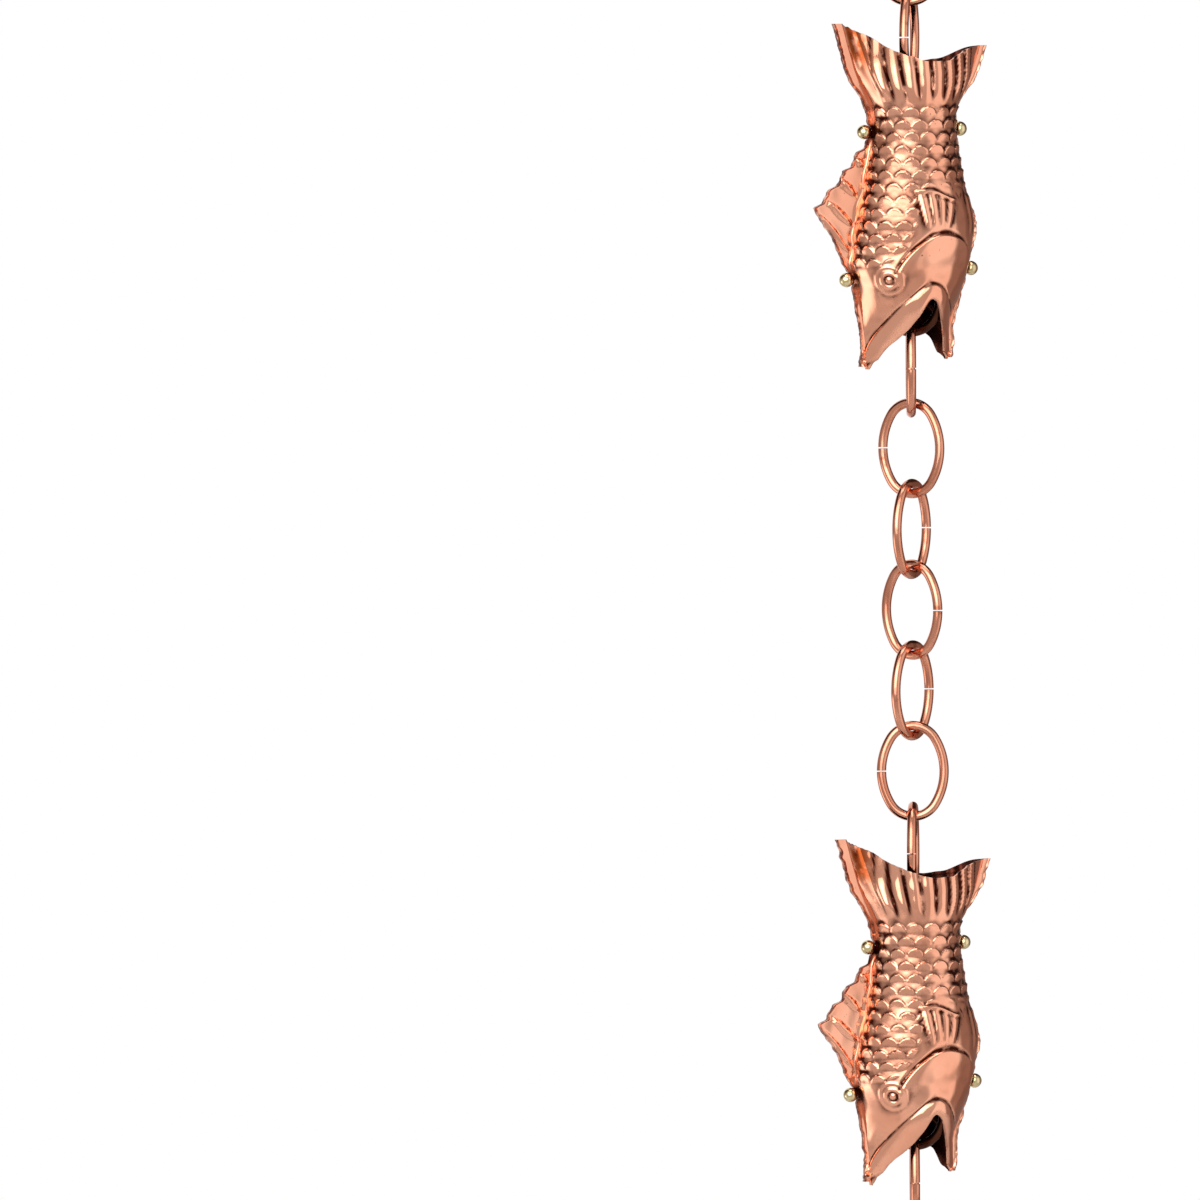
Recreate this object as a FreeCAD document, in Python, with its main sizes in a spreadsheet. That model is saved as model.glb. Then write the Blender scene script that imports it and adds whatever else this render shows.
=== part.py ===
import FreeCAD, Part
import math
import os

import Sketcher
from FreeCAD import Placement, Rotation, Vector

# A hanging rain chain: head-down fish cups stamped from copper sheet, each made of two half shells
# seamed along back and belly, held by two brass cross pins with ball nuts, and joined by copper links.
# Frame: +Z up, origin on the inside of the hanging ring's crown. X runs from a fish's back (-X) to its
# belly (+X) and Y is across its flanks, with the near flank on the -Y side.

os.makedirs("parts", exist_ok=True)
doc = FreeCAD.newDocument("rain_chain")
sheet = doc.addObject("Spreadsheet::Sheet", "sizes")

SIZES = [
    # chain links and rings, bent from round wire
    ("wire_dia", 5.0),
    ("link_inner_length", 42.9),
    ("link_inner_width", 28.0),
    ("link_end_radius", 13.6),
    ("link_cut", 0.8),
    ("ring_inner_dia", 30.0),
    ("seat_gap", 0.3),
    # cross pins and ball nuts
    ("pin_dia", 3.2),
    ("pin_pitch", 75.5),
    ("upper_pin_drop", 55.0),
    ("pin_hole_clear", 0.2),
    ("ball_dia", 7.0),
    ("ball_seat", 3.2),
    ("ball_bore_depth", 4.6),
    ("ball_bore_clear", 0.1),
    # sheet of the half shells and their seam
    ("sheet_thick", 0.8),
    ("seam_gap", 0.1),
    ("flange_width", 2.4),
    ("flange_at_pin", 0.7),
    ("pin_notch_width", 5.0),
    # stations down the fish from the tail's tip: drop, back, belly and half depth
    ("tail_back", 41.5),
    ("tail_belly", 45.0),
    ("tail_room", 1.3),
    ("fan_drop", 25.0),
    ("fan_back", 34.0),
    ("fan_belly", 37.5),
    ("fan_depth", 21.4),
    ("neck_drop", 50.0),
    ("neck_back", 21.5),
    ("neck_belly", 24.2),
    ("neck_room", 1.2),
    ("shoulder_drop", 80.0),
    ("shoulder_back", 26.3),
    ("shoulder_belly", 28.0),
    ("shoulder_depth", 24.0),
    ("girth_drop", 108.0),
    ("girth_back", 32.7),
    ("girth_belly", 32.0),
    ("girth_depth", 27.0),
    ("gill_drop", 122.0),
    ("gill_back", 34.3),
    ("gill_belly", 31.0),
    ("gill_depth", 27.0),
    ("head_drop", 140.0),
    ("head_back", 30.3),
    ("head_belly", 27.0),
    ("head_room", 4.7),
    ("jaw_drop", 160.0),
    ("jaw_back", 27.0),
    ("jaw_belly", 21.3),
    ("jaw_depth", 18.0),
    ("tip_drop", 178.0),
    ("tip_back", 25.0),
    ("tip_belly", 19.5),
    ("tip_depth", 8.0),
    # tail edge, mouth and dorsal fin
    ("tail_notch", 17.0),
    ("tail_belly_drop", 12.3),
    ("mouth_drop", 141.5),
    ("lip_width", 9.0),
    ("lip_height", 1.3),
    ("fin_start", 65.5),
    ("fin_tip", 96.8),
    ("fin_end", 126.5),
    ("fin_reach", 23.4),
    ("fin_spine_pitch", 9.6),
    ("fin_ray_height", 0.7),
    ("keel_reach", 4.2),
    # embossing
    ("flute_height", 1.5),
    ("scale_first_row", 43.8),
    ("scale_row_pitch", 6.2),
    ("scale_width", 9.6),
    ("scale_height", 0.8),
    ("gill_height", 1.2),
    ("eye_dia", 18.0),
    ("eye_height", 0.9),
    ("side_fin_height", 1.1),
]
for row, (alias, value) in enumerate(SIZES, 1):
    sheet.set(f"A{row}", alias)
    sheet.set(f"B{row}", str(value))
    sheet.setAlias(f"B{row}", alias)
doc.recompute()


def size(alias):
    return float(sheet.get(alias))


def turned(angle, drop, across=0.0):
    """A place on the chain's line: turned about Z, at a drop below the hanging point."""
    return Placement(Vector(across, 0, -drop), Rotation(Vector(0, 0, 1), angle))


# Drops down the chain, from the inside of the hanging ring's crown.
WIRE = size("wire_dia")
GAP = size("seat_gap")
PIN_R = size("pin_dia") / 2
LINK_IN = size("link_inner_length")
RING_IN = size("ring_inner_dia")
LINK_STEP = LINK_IN - GAP
RING_STEP = RING_IN - GAP


def link_centre(crown):
    return crown + LINK_IN / 2


def ring_centre(crown):
    return crown + RING_IN / 2


# Each link's turn about Z, as they hang, in degrees from X; 180 more puts the cut on the other side.
HANGING_TURN = -22.0
TAIL_TURN = {1: 57.0 + 180, 2: 64.0 + 180}
UPPER_RING_TURN = -45.0
LOWER_RING_TURN = -52.0
MOUTH_TURN = 68.0 + 180
CHAIN_TURN = [-48.0 + 180, 39.0, -58.0, 35.0, -22.0 + 180]

crowns = {}
crown = 0.0
crowns["hanging_ring"] = crown
crown += LINK_STEP
for fish in (1, 2):
    crowns[f"tail_link_{fish}"] = crown
    crown += LINK_STEP
    crowns[f"upper_ring_{fish}"] = crown
    upper_pin = crown + RING_IN - GAP - PIN_R
    lower_pin = upper_pin + size("pin_pitch")
    crowns[f"upper_pin_{fish}"] = upper_pin
    crowns[f"lower_pin_{fish}"] = lower_pin
    crown = lower_pin - PIN_R - GAP
    crowns[f"lower_ring_{fish}"] = crown
    crown += RING_STEP
    crowns[f"mouth_link_{fish}"] = crown
    crown += LINK_STEP
    if fish == 1:
        for count in range(1, 6):
            crowns[f"chain_link_{count}"] = crown
            crown += LINK_STEP

nodes = []

# Oval links: a round wire swept along four tangent arcs, open by a saw cut in one side.
HALF_WIDTH = "(sizes.link_inner_width / 2 + sizes.wire_dia / 2)"
HALF_LENGTH = "(sizes.link_inner_length / 2 + sizes.wire_dia / 2)"
END_RISE = f"({HALF_LENGTH} - sizes.link_end_radius)"
SIDE_RADIUS = (
    f"(({HALF_WIDTH} * {HALF_WIDTH} + {END_RISE} * {END_RISE}"
    f" - sizes.link_end_radius * sizes.link_end_radius)"
    f" / (2 * ({HALF_WIDTH} - sizes.link_end_radius)))"
)


def origin_plane(body, role):
    return next(f for f in body.Origin.OriginFeatures if f.Role == role)


def oval_link(label, turn, drop):
    body = doc.addObject("PartDesign::Body", label)
    body.Label = label
    end_r = size("link_end_radius")
    half_w = (size("link_inner_width") + WIRE) / 2
    rise = (LINK_IN + WIRE) / 2 - end_r
    side_r = (half_w**2 + rise**2 - end_r**2) / (2 * (half_w - end_r))
    shift = side_r - half_w
    lean = math.atan2(rise, shift)
    open_half = size("link_cut") / 2
    start = math.asin(open_half / side_r)

    path = body.newObject("Sketcher::SketchObject", label + "_path")
    path.AttachmentSupport = [(origin_plane(body, "XZ_Plane"), "")]
    path.MapMode = "FlatFace"
    up = Vector(0, 0, 1)
    arcs = [
        (Vector(-shift, 0, 0), side_r, start, lean),
        (Vector(0, rise, 0), end_r, lean, math.pi - lean),
        (Vector(shift, 0, 0), side_r, math.pi - lean, math.pi + lean),
        (Vector(0, -rise, 0), end_r, math.pi + lean, 2 * math.pi - lean),
        (Vector(-shift, 0, 0), side_r, 2 * math.pi - lean, 2 * math.pi - start),
    ]
    for centre, radius, first, last in arcs:
        path.addGeometry(Part.ArcOfCircle(Part.Circle(centre, up, radius), first, last), False)
    for k in range(4):
        path.addConstraint(Sketcher.Constraint("Tangent", k, 2, k + 1, 1))
    path.addConstraint(Sketcher.Constraint("PointOnObject", 1, 3, -2))
    path.addConstraint(Sketcher.Constraint("PointOnObject", 3, 3, -2))
    path.addConstraint(Sketcher.Constraint("PointOnObject", 0, 3, -1))
    path.addConstraint(Sketcher.Constraint("PointOnObject", 2, 3, -1))
    path.addConstraint(Sketcher.Constraint("Coincident", 0, 3, 4, 3))

    def measure(name, expression, *what):
        index = path.addConstraint(Sketcher.Constraint(*what))
        path.renameConstraint(index, name)
        path.setExpression("Constraints." + name, expression)

    measure("end_radius", "sizes.link_end_radius", "Radius", 1, end_r)
    measure("top_rise", END_RISE, "DistanceY", -1, 1, 1, 3, rise)
    measure("foot_rise", END_RISE, "DistanceY", 3, 3, -1, 1, rise)
    measure("right_shift", f"{SIDE_RADIUS} - {HALF_WIDTH}", "DistanceX", 0, 3, -1, 1, shift)
    measure("left_shift", f"{SIDE_RADIUS} - {HALF_WIDTH}", "DistanceX", -1, 1, 2, 3, shift)
    measure("cut_top", "sizes.link_cut / 2", "DistanceY", -1, 1, 0, 1, open_half)
    measure("cut_foot", "sizes.link_cut / 2", "DistanceY", 4, 2, -1, 1, open_half)

    wire = body.newObject("Sketcher::SketchObject", label + "_wire")
    wire.AttachmentSupport = [(origin_plane(body, "XY_Plane"), "")]
    wire.MapMode = "FlatFace"
    wire.setExpression(".AttachmentOffset.Base.z", "sizes.link_cut / 2")
    wire.addGeometry(Part.Circle(Vector(half_w, 0, 0), up, WIRE / 2), False)
    wire.addConstraint(Sketcher.Constraint("PointOnObject", 0, 3, -1))
    index = wire.addConstraint(Sketcher.Constraint("DistanceX", -1, 1, 0, 3, half_w))
    wire.renameConstraint(index, "side")
    wire.setExpression("Constraints.side", HALF_WIDTH)
    index = wire.addConstraint(Sketcher.Constraint("Radius", 0, WIRE / 2))
    wire.renameConstraint(index, "wire_radius")
    wire.setExpression("Constraints.wire_radius", "sizes.wire_dia / 2")

    pipe = body.newObject("PartDesign::AdditivePipe", label + "_pipe")
    pipe.Profile = wire
    pipe.Spine = (path, [f"Edge{k}" for k in range(1, 6)])
    body.Placement = turned(turn, drop)
    nodes.append(body)
    return body


# Round pin rings inside each fish, closed and soldered.
def pin_ring(label, turn, drop):
    ring = doc.addObject("Part::Torus", label)
    ring.Label = label
    ring.setExpression("Radius1", "sizes.ring_inner_dia / 2 + sizes.wire_dia / 2")
    ring.setExpression("Radius2", "sizes.wire_dia / 2")
    upright = Placement(Vector(0, 0, 0), Rotation(Vector(1, 0, 0), 90))
    ring.Placement = turned(turn, drop).multiply(upright)
    nodes.append(ring)
    return ring


# Shape of a fish. Every point of a flank has a drop below the tail's tip and a share around the section,
# 0 on the back seam and 1 on the belly seam.
def smooth(xs, ys, x):
    """A smooth curve through stations that does not overshoot between them."""
    slopes = [(ys[k + 1] - ys[k]) / (xs[k + 1] - xs[k]) for k in range(len(xs) - 1)]
    lean = [slopes[0]]
    for before, after in zip(slopes, slopes[1:]):
        lean.append(0.0 if before * after <= 0 else 2 * before * after / (before + after))
    lean.append(slopes[-1])
    k = max(0, min(len(xs) - 2, sum(1 for a in xs if a <= x) - 1))
    step = xs[k + 1] - xs[k]
    t = (x - xs[k]) / step
    return (
        ys[k] * (1 + 2 * t) * (1 - t) ** 2
        + step * lean[k] * t * (1 - t) ** 2
        + ys[k + 1] * t * t * (3 - 2 * t)
        + step * lean[k + 1] * t * t * (t - 1)
    )


def ramp(x):
    x = max(0.0, min(1.0, x))
    return x * x * (3 - 2 * x)


SHEET = size("sheet_thick")
RING_OUT = RING_IN / 2 + WIRE
LINK_OUT = size("link_inner_width") / 2 + WIRE
STATIONS = ["fan", "neck", "shoulder", "girth", "gill", "head", "jaw", "tip"]
DROPS = [0.0] + [size(n + "_drop") for n in STATIONS]
BACKS = [size("tail_back")] + [size(n + "_back") for n in STATIONS]
BELLIES = [size("tail_belly")] + [size(n + "_belly") for n in STATIONS]
DEPTHS = [
    LINK_OUT + size("tail_room"),
    size("fan_depth"),
    RING_OUT + size("neck_room") + SHEET,
    size("shoulder_depth"),
    size("girth_depth"),
    size("gill_depth"),
    RING_OUT + size("head_room") + SHEET,
    size("jaw_depth"),
    size("tip_depth"),
]
TIP = size("tip_drop")
UPPER_PIN = size("upper_pin_drop")
LOWER_PIN = UPPER_PIN + size("pin_pitch")
MOUTH = size("mouth_drop")
NOTCH = size("tail_notch")
BELLY_TIP = size("tail_belly_drop")


def back_at(drop):
    return smooth(DROPS, BACKS, drop)


def belly_at(drop):
    return smooth(DROPS, BELLIES, drop)


def depth_at(drop):
    return smooth(DROPS, DEPTHS, drop)


TAIL_SHARES = [0.0, 0.2, 0.3, 0.4, 0.5, 0.6, 0.68, 0.77, 1.0]
TAIL_FALL = [0.0, 0.18 * NOTCH, 0.59 * NOTCH, 0.9 * NOTCH, NOTCH, 0.97 * NOTCH]
TAIL_EDGE = TAIL_FALL + [0.96 * BELLY_TIP, 0.8 * BELLY_TIP, BELLY_TIP]
MOUTH_SHARES = [0.0, 0.2, 0.284, 0.402, 0.471, 0.535, 0.626, 0.705, 0.78, 1.0]
JAW_RISE = [0.97, 0.88, 0.71, 0.48, 0.26, 0.0, 0.266, 0.537, 0.81, 0.89]
MOUTH_EDGE = [MOUTH + part * (TIP - MOUTH) for part in JAW_RISE]
LIP_SHARES = [0.0, 0.082, 0.246, 0.385, 0.496, 0.535, 0.575, 0.651, 0.803, 0.918, 1.0]
LIP_RISE = [1.01, 0.9, 0.6, 0.25, 0.03, 0.0, 0.03, 0.25, 0.56, 0.89, 0.95]
LIP_LINE = [MOUTH - size("lip_width") + part * (TIP - MOUTH) for part in LIP_RISE]


def tail_edge(share):
    return smooth(TAIL_SHARES, TAIL_EDGE, share)


def mouth_edge(share):
    return smooth(MOUTH_SHARES, MOUTH_EDGE, share)


def lip_line(share):
    return smooth(LIP_SHARES, LIP_LINE, share)


def girth_at(drop):
    """Half the way round the section."""
    a = (back_at(drop) + belly_at(drop)) / 2
    b = depth_at(drop)
    return math.pi / 2 * (3 * (a + b) - math.sqrt((3 * a + b) * (a + 3 * b)))


def flutes(drop, share):
    """Radiating flutes of the tail fan."""
    base = size("scale_first_row") - 1.5
    along = max(0.0, min(1.0, drop / base))
    pitch = 0.061 + 0.029 * along
    middle = 0.478 + 0.052 * along
    place = (share - middle) / pitch
    wave = abs(math.sin(math.pi * place)) ** 0.8
    inside = ramp((4.3 - abs(place)) / 0.5)
    fade = ramp((base - drop) / 9.0)
    return size("flute_height") * (wave - 0.5) * inside * fade


def lips(drop, share):
    """A rolled lip round the mouth."""
    low = lip_line(share)
    edge = mouth_edge(share)
    if drop < low or edge <= low:
        return 0.0
    part = (drop - low) / (edge - low)
    return size("lip_height") * math.sin(math.pi * min(1.0, part * 0.82)) ** 0.7


def gill_line(share):
    bend = 330.0 if share < 0.55 else 200.0
    return size("girth_drop") - 1.7 + bend * (share - 0.55) ** 2


def gill(drop, share):
    """The gill cover's edge, which stands over the flank and sinks back into the head."""
    past = drop - gill_line(share)
    inside = ramp((share - 0.31) / 0.05) * ramp((0.84 - share) / 0.05)
    if past < -3:
        return 0.0
    if past < 0:
        return -0.35 * size("gill_height") * ramp((past + 3) / 3) * inside
    rise = ramp(past / 1.6) * 1.35 - 0.35
    return size("gill_height") * rise * (1 - 0.8 * ramp((past - 2) / 14)) * inside


def eye(drop, share):
    """An eye of raised rings round a pupil."""
    middle = size("gill_drop") + 9.8
    across = (share - 0.284) * girth_at(middle)
    r = math.hypot(drop - middle, across) / (size("eye_dia") / 2)
    if r > 1.2:
        return 0.0
    disc = 0.55 * ramp((1.08 - r) / 0.22)
    ring = 0.55 * math.exp(-(((r - 0.48) / 0.12) ** 2))
    pupil = 0.75 * math.exp(-((r / 0.17) ** 2))
    return size("eye_height") * (disc + ring + pupil)


def side_fin(drop, share):
    """The breast fin folded on the flank, with ribs."""
    top = size("girth_drop") - 22.0
    foot = size("girth_drop") - 4.5
    along = (drop - top) / (foot - top)
    half = 0.132 - 0.068 * max(0.0, min(1.0, along))
    part = (share - 0.542) / half
    inside = ramp((1.06 - abs(part)) / 0.14) * ramp((along + 0.02) / 0.07) * ramp((1.02 - along) / 0.25)
    ribs = 0.62 + 0.38 * math.cos(math.pi * 4 * part)
    brow = 0.45 * math.exp(-(((along - 0.05) / 0.06) ** 2))
    return size("side_fin_height") * inside * (ribs * (1 - 0.3 * along) + brow)


def belly_fin(drop, share):
    top = size("girth_drop") - 20.0
    along = (drop - top) / 26.0
    inside = ramp((share - 0.76) / 0.05) * ramp((0.985 - share) / 0.04)
    inside *= ramp(along / 0.15) * ramp((1 - along) / 0.4)
    return 0.7 * size("side_fin_height") * inside * (0.6 + 0.4 * math.cos(2 * math.pi * (share - 0.8) / 0.062))


SCALE_ROWS = 14


def scales(drop, share):
    """Overlapping scales whose rounded free edges point to the tail."""
    pitch = size("scale_row_pitch")
    width = size("scale_width")
    first = size("scale_first_row")
    across = (share - 0.5) * girth_at(drop)
    height = 0.0
    row = int(math.floor((drop - first) / pitch)) + 1
    for k in range(row, row - 4, -1):
        if not 0 <= k < SCALE_ROWS:
            continue
        offset = across / width + (0.5 if k % 2 else 0.0)
        local = (offset - math.floor(offset + 0.5)) * 2
        edge = first + k * pitch + 0.72 * pitch * (1 - math.sqrt(max(0.0, 1 - 0.98 * local * local)))
        past = drop - edge
        if past >= 0:
            height = ramp(past / 1.0) * math.exp(-past / (0.9 * pitch))
            break
    upper = ramp((share - 0.02) / 0.03) * ramp((0.98 - share) / 0.03)
    line = smooth(
        [0.0, 0.12, 0.234, 0.357, 0.413, 0.461, 0.6, 1.0],
        [128.0, 127.0, 125.5, 118.0, 107.0, 87.0, 85.0, 87.0],
        share,
    )
    reach = ramp((line + 2.5 - drop) / 2.5) * ramp((drop - first + 0.5) / 0.6)
    return size("scale_height") * height * upper * reach


def relief(drop, share):
    """Height of the embossing over the plain half shell."""
    fade = ramp(share / 0.03) * ramp((1 - share) / 0.03)
    lift = flutes(drop, share) + lips(drop, share)
    if drop > lip_line(share) - 0.5:
        return lift * fade
    fin = side_fin(drop, share)
    cover = gill(drop, share)
    skin = scales(drop, share) if fin < 0.05 and abs(cover) < 0.02 else 0.0
    return (lift + fin + cover + skin + eye(drop, share) + belly_fin(drop, share)) * fade


def skin_point(drop, share, inner):
    """A point of the outer or inner skin of the near half, which lies on the -Y side."""
    a = (back_at(drop) + belly_at(drop)) / 2
    c = (belly_at(drop) - back_at(drop)) / 2
    b = depth_at(drop) - SHEET
    angle = math.pi * share
    cos, sin = math.cos(angle), math.sin(angle)
    if inner:
        lift = (flutes(drop, share) + lips(drop, share)) * ramp(share / 0.03) * ramp((1 - share) / 0.03)
        a -= SHEET
        base = 0.0
    else:
        lift = relief(drop, share)
        base = SHEET
    nx, ny = -cos * b, sin * a
    norm = math.hypot(nx, ny)
    x = c - a * cos + lift * nx / norm
    y = base + b * sin + lift * ny / norm
    return Vector(x, -(y + size("seam_gap") / 2), -drop)


def pin_dip(drop):
    """1 away from the cross pins, 0 at them, where the flange is notched."""
    room = size("pin_notch_width")
    near = min(abs(drop - UPPER_PIN), abs(drop - LOWER_PIN))
    return ramp((near - 0.35 * room) / (0.65 * room))


def fin_width(drop):
    """Reach of the back flange and its fin past the crease."""
    start, tip, end = size("fin_start"), size("fin_tip"), size("fin_end")
    reach = size("fin_reach") - size("flange_width")
    if start < drop <= tip:
        pitch = size("fin_spine_pitch")
        steps = sum(ramp((drop - start - k * pitch) / 2.6) for k in range(4)) / 4
        rise = (drop - start) / (tip - start)
        return reach * (0.34 * rise + 0.66 * steps)
    if tip < drop < end:
        fall = (end - drop) / (end - tip)
        return reach * (fall - 0.12 * math.sin(math.pi * fall) ** 2)
    return 0.0


def back_edge(drop):
    least = size("flange_at_pin")
    base = size("flange_width") * (1 + 0.45 * math.exp(-(((drop - 44) / 6) ** 2)))
    return back_at(drop) + least + (base - least) * pin_dip(drop) + fin_width(drop) * pin_dip(drop)


def belly_edge(drop):
    least = size("flange_at_pin")
    keel = size("keel_reach") - size("flange_width")
    swell = math.exp(-(((drop - size("girth_drop")) / 11) ** 2))
    swell += math.exp(-(((drop - TIP + 11) / 9) ** 2))
    wide = size("flange_width") * 0.8 + keel * swell
    return belly_at(drop) + least + (wide - least) * pin_dip(drop)


RAYS = [(30.7, 71.1, 26.6, 74.5), (39.2, 80.9, 31.6, 89.2), (45.3, 92.6, 33.8, 104.2), (50.7, 98.6, 36.5, 116.7)]


def ray_lift(out, drop):
    """Lens-shaped rays pressed into the back fin."""
    lift = 0.0
    for out1, drop1, out2, drop2 in RAYS:
        dx, dz = out2 - out1, drop2 - drop1
        length = math.hypot(dx, dz)
        along = ((out - out1) * dx + (drop - drop1) * dz) / length
        aside = ((out - out1) * dz - (drop - drop1) * dx) / length
        part = along / length
        if -0.1 < part < 1.1:
            half = 0.4 + 1.15 * math.sin(math.pi * max(0.0, min(1.0, part)))
            lift = max(lift, math.exp(-((aside / half) ** 2)) * ramp((part + 0.1) / 0.2) * ramp((1.1 - part) / 0.2))
    return size("fin_ray_height") * lift


ALONG = 170
AROUND = 78
ALONG_IN = 64
FLANGE_ACROSS = 16


def spline_patch(rows):
    """A cubic surface over a grid of poles."""
    counts = [len(rows), len(rows[0])]
    knots, mults = [], []
    for n in counts:
        knots.append([k / (n - 3) for k in range(n - 2)])
        mults.append([4] + [1] * (n - 4) + [4])
    surface = Part.BSplineSurface()
    surface.buildFromPolesMultsKnots(rows, mults[0], mults[1], knots[0], knots[1], False, False, 3, 3)
    return surface


def flat_face(edges):
    return Part.Face(Part.Wire(Part.__sortEdges__(edges)))


def drop_at(i, count, share):
    top, foot = tail_edge(share), mouth_edge(share)
    return top + (foot - top) * i / (count - 1)


def half_shell():
    """The near half shell of a fish, with the tail's tip at Z 0."""
    plane = -size("seam_gap") / 2
    shares = [j / (AROUND - 1) for j in range(AROUND)]
    outer = spline_patch([[skin_point(drop_at(i, ALONG, v), v, False) for v in shares] for i in range(ALONG)])
    inner = spline_patch([[skin_point(drop_at(i, ALONG_IN, v), v, True) for v in shares] for i in range(ALONG_IN)])
    faces = [outer.toShape(), inner.toShape()]
    out_edge = {v: outer.vIso(v).toShape() for v in (0.0, 1.0)}
    in_edge = {v: inner.vIso(v).toShape() for v in (0.0, 1.0)}
    for u in (0.0, 1.0):
        faces.append(Part.makeRuledSurface(outer.uIso(u).toShape(), inner.uIso(u).toShape()))
    for v, edge_at, crease_at, way in ((0.0, back_edge, back_at, -1), (1.0, belly_edge, belly_at, 1)):
        rows = []
        for i in range(ALONG):
            drop = drop_at(i, ALONG, v)
            crease = crease_at(drop)
            wide = edge_at(drop) - crease
            row = []
            for j in range(FLANGE_ACROSS):
                part = j / (FLANGE_ACROSS - 1)
                out = crease + wide * part
                lift = ray_lift(out, drop) * math.sin(math.pi * part) ** 0.5 if way < 0 and 0 < part < 1 else 0.0
                row.append(Vector(way * out, plane - SHEET - lift, -drop))
            rows.append(row)
        flange = spline_patch(rows)
        faces.append(flange.toShape())
        rim = flange.vIso(1.0).toShape()
        back_rows = [Vector(r[-1].x, plane, r[-1].z) for r in rows]
        curve = Part.BSplineCurve()
        n = len(back_rows)
        curve.buildFromPolesMultsKnots(
            back_rows, [4] + [1] * (n - 4) + [4], [k / (n - 3) for k in range(n - 2)], False, 3
        )
        rim_back = curve.toShape()
        faces.append(Part.makeRuledSurface(rim, rim_back))
        ends = []
        for u, end in ((0.0, 0), (1.0, -1)):
            crease_out = rows[end][0]
            crease_in = in_edge[v].Vertexes[0 if end == 0 else -1].Point
            corner = back_rows[end]
            back_line = Part.makeLine(crease_in, corner)
            ends.append(back_line)
            faces.append(
                flat_face(
                    [
                        flange.uIso(u).toShape(),
                        Part.makeLine(rows[end][-1], corner),
                        back_line,
                        Part.makeLine(crease_in, crease_out),
                    ]
                )
            )
        faces.append(flat_face([rim_back, in_edge[v]] + ends))
    shell = Part.makeShell(faces)
    shell.sewShape()
    solid = Part.makeSolid(shell)
    if solid.Volume < 0:
        solid.reverse()
    # half-round notches where the cross pins pass between the halves
    radius = PIN_R + size("pin_hole_clear")
    for drop in (UPPER_PIN, LOWER_PIN):
        start = Vector(-back_edge(drop) - 5, 0, -drop)
        length = back_edge(drop) + belly_edge(drop) + 10
        solid = solid.cut(Part.makeCylinder(radius, length, start, Vector(1, 0, 0)))
    return solid.Solids[0] if len(solid.Solids) == 1 else solid


near_shape = half_shell()
far_shape = near_shape.mirror(Vector(0, 0, 0), Vector(0, 1, 0))


def fish_half(label, shape, drop):
    half = doc.addObject("Part::Feature", label)
    half.Label = label
    half.Shape = shape.copy()
    half.Placement = turned(0, drop)
    nodes.append(half)
    return half


# Cross pins of brass rod, through the seam from back to belly, with a ball nut on each end.
def seat_at(edge_at, drop):
    return edge_at(drop) + GAP


def cross_pin(label, drop, fish_drop):
    rod = doc.addObject("Part::Cylinder", label)
    rod.Label = label
    rod.setExpression("Radius", "sizes.pin_dia / 2")
    reach = size("ball_bore_depth") - GAP
    left = seat_at(back_edge, drop) + reach
    right = seat_at(belly_edge, drop) + reach
    rod.Height = left + right
    rod.Placement = Placement(Vector(-left, 0, -fish_drop - drop), Rotation(Vector(0, 1, 0), 90))
    nodes.append(rod)
    return rod


def ball_nut(label, side, edge_at, drop, fish_drop):
    ball = doc.addObject("Part::Sphere", label + "_ball")
    ball.setExpression("Radius", "sizes.ball_dia / 2")
    ball.setExpression("Angle1", "-asin(sizes.ball_seat / (sizes.ball_dia / 2))")
    bore = doc.addObject("Part::Cylinder", label + "_bore")
    bore.setExpression("Radius", "sizes.pin_dia / 2 + sizes.ball_bore_clear")
    bore.setExpression("Height", "sizes.ball_bore_depth + 1")
    bore.setExpression(".Placement.Base.z", "-sizes.ball_seat - 1")
    nut = doc.addObject("Part::Cut", label)
    nut.Label = label
    nut.Base = ball
    nut.Tool = bore
    place = side * (seat_at(edge_at, drop) + size("ball_seat"))
    nut.Placement = Placement(Vector(place, 0, -fish_drop - drop), Rotation(Vector(0, 1, 0), 90 * side))
    nodes.append(nut)
    return nut


oval_link("hanging_ring", HANGING_TURN, link_centre(crowns["hanging_ring"]))
for fish in (1, 2):
    fish_drop = crowns[f"upper_pin_{fish}"] - UPPER_PIN
    oval_link(f"tail_link_{fish}", TAIL_TURN[fish], link_centre(crowns[f"tail_link_{fish}"]))
    pin_ring(f"upper_ring_{fish}", UPPER_RING_TURN, ring_centre(crowns[f"upper_ring_{fish}"]))
    fish_half(f"fish_{fish}_near_half", near_shape, fish_drop)
    fish_half(f"fish_{fish}_far_half", far_shape, fish_drop)
    for name, drop in (("upper", UPPER_PIN), ("lower", LOWER_PIN)):
        cross_pin(f"fish_{fish}_{name}_pin", drop, fish_drop)
        ball_nut(f"fish_{fish}_{name}_back_nut", -1, back_edge, drop, fish_drop)
        ball_nut(f"fish_{fish}_{name}_belly_nut", 1, belly_edge, drop, fish_drop)
    pin_ring(f"lower_ring_{fish}", LOWER_RING_TURN, ring_centre(crowns[f"lower_ring_{fish}"]))
    oval_link(f"mouth_link_{fish}", MOUTH_TURN, link_centre(crowns[f"mouth_link_{fish}"]))
for count, turn in enumerate(CHAIN_TURN, 1):
    oval_link(f"chain_link_{count}", turn, link_centre(crowns[f"chain_link_{count}"]))

doc.recompute()
for item in doc.Objects:
    if "Invalid" in item.State or "Error" in item.State:
        raise RuntimeError(f"{item.Name} failed: {item.State}")
for node in nodes:
    if node.Shape.isNull() or not node.Shape.isValid():
        raise RuntimeError(f"{node.Label} has no valid shape")
for node in nodes:
    node.Shape.exportStep(f"parts/{node.Label}.step")
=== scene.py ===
import math

import bpy
import numpy as np
from mathutils import Matrix, Vector


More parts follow.
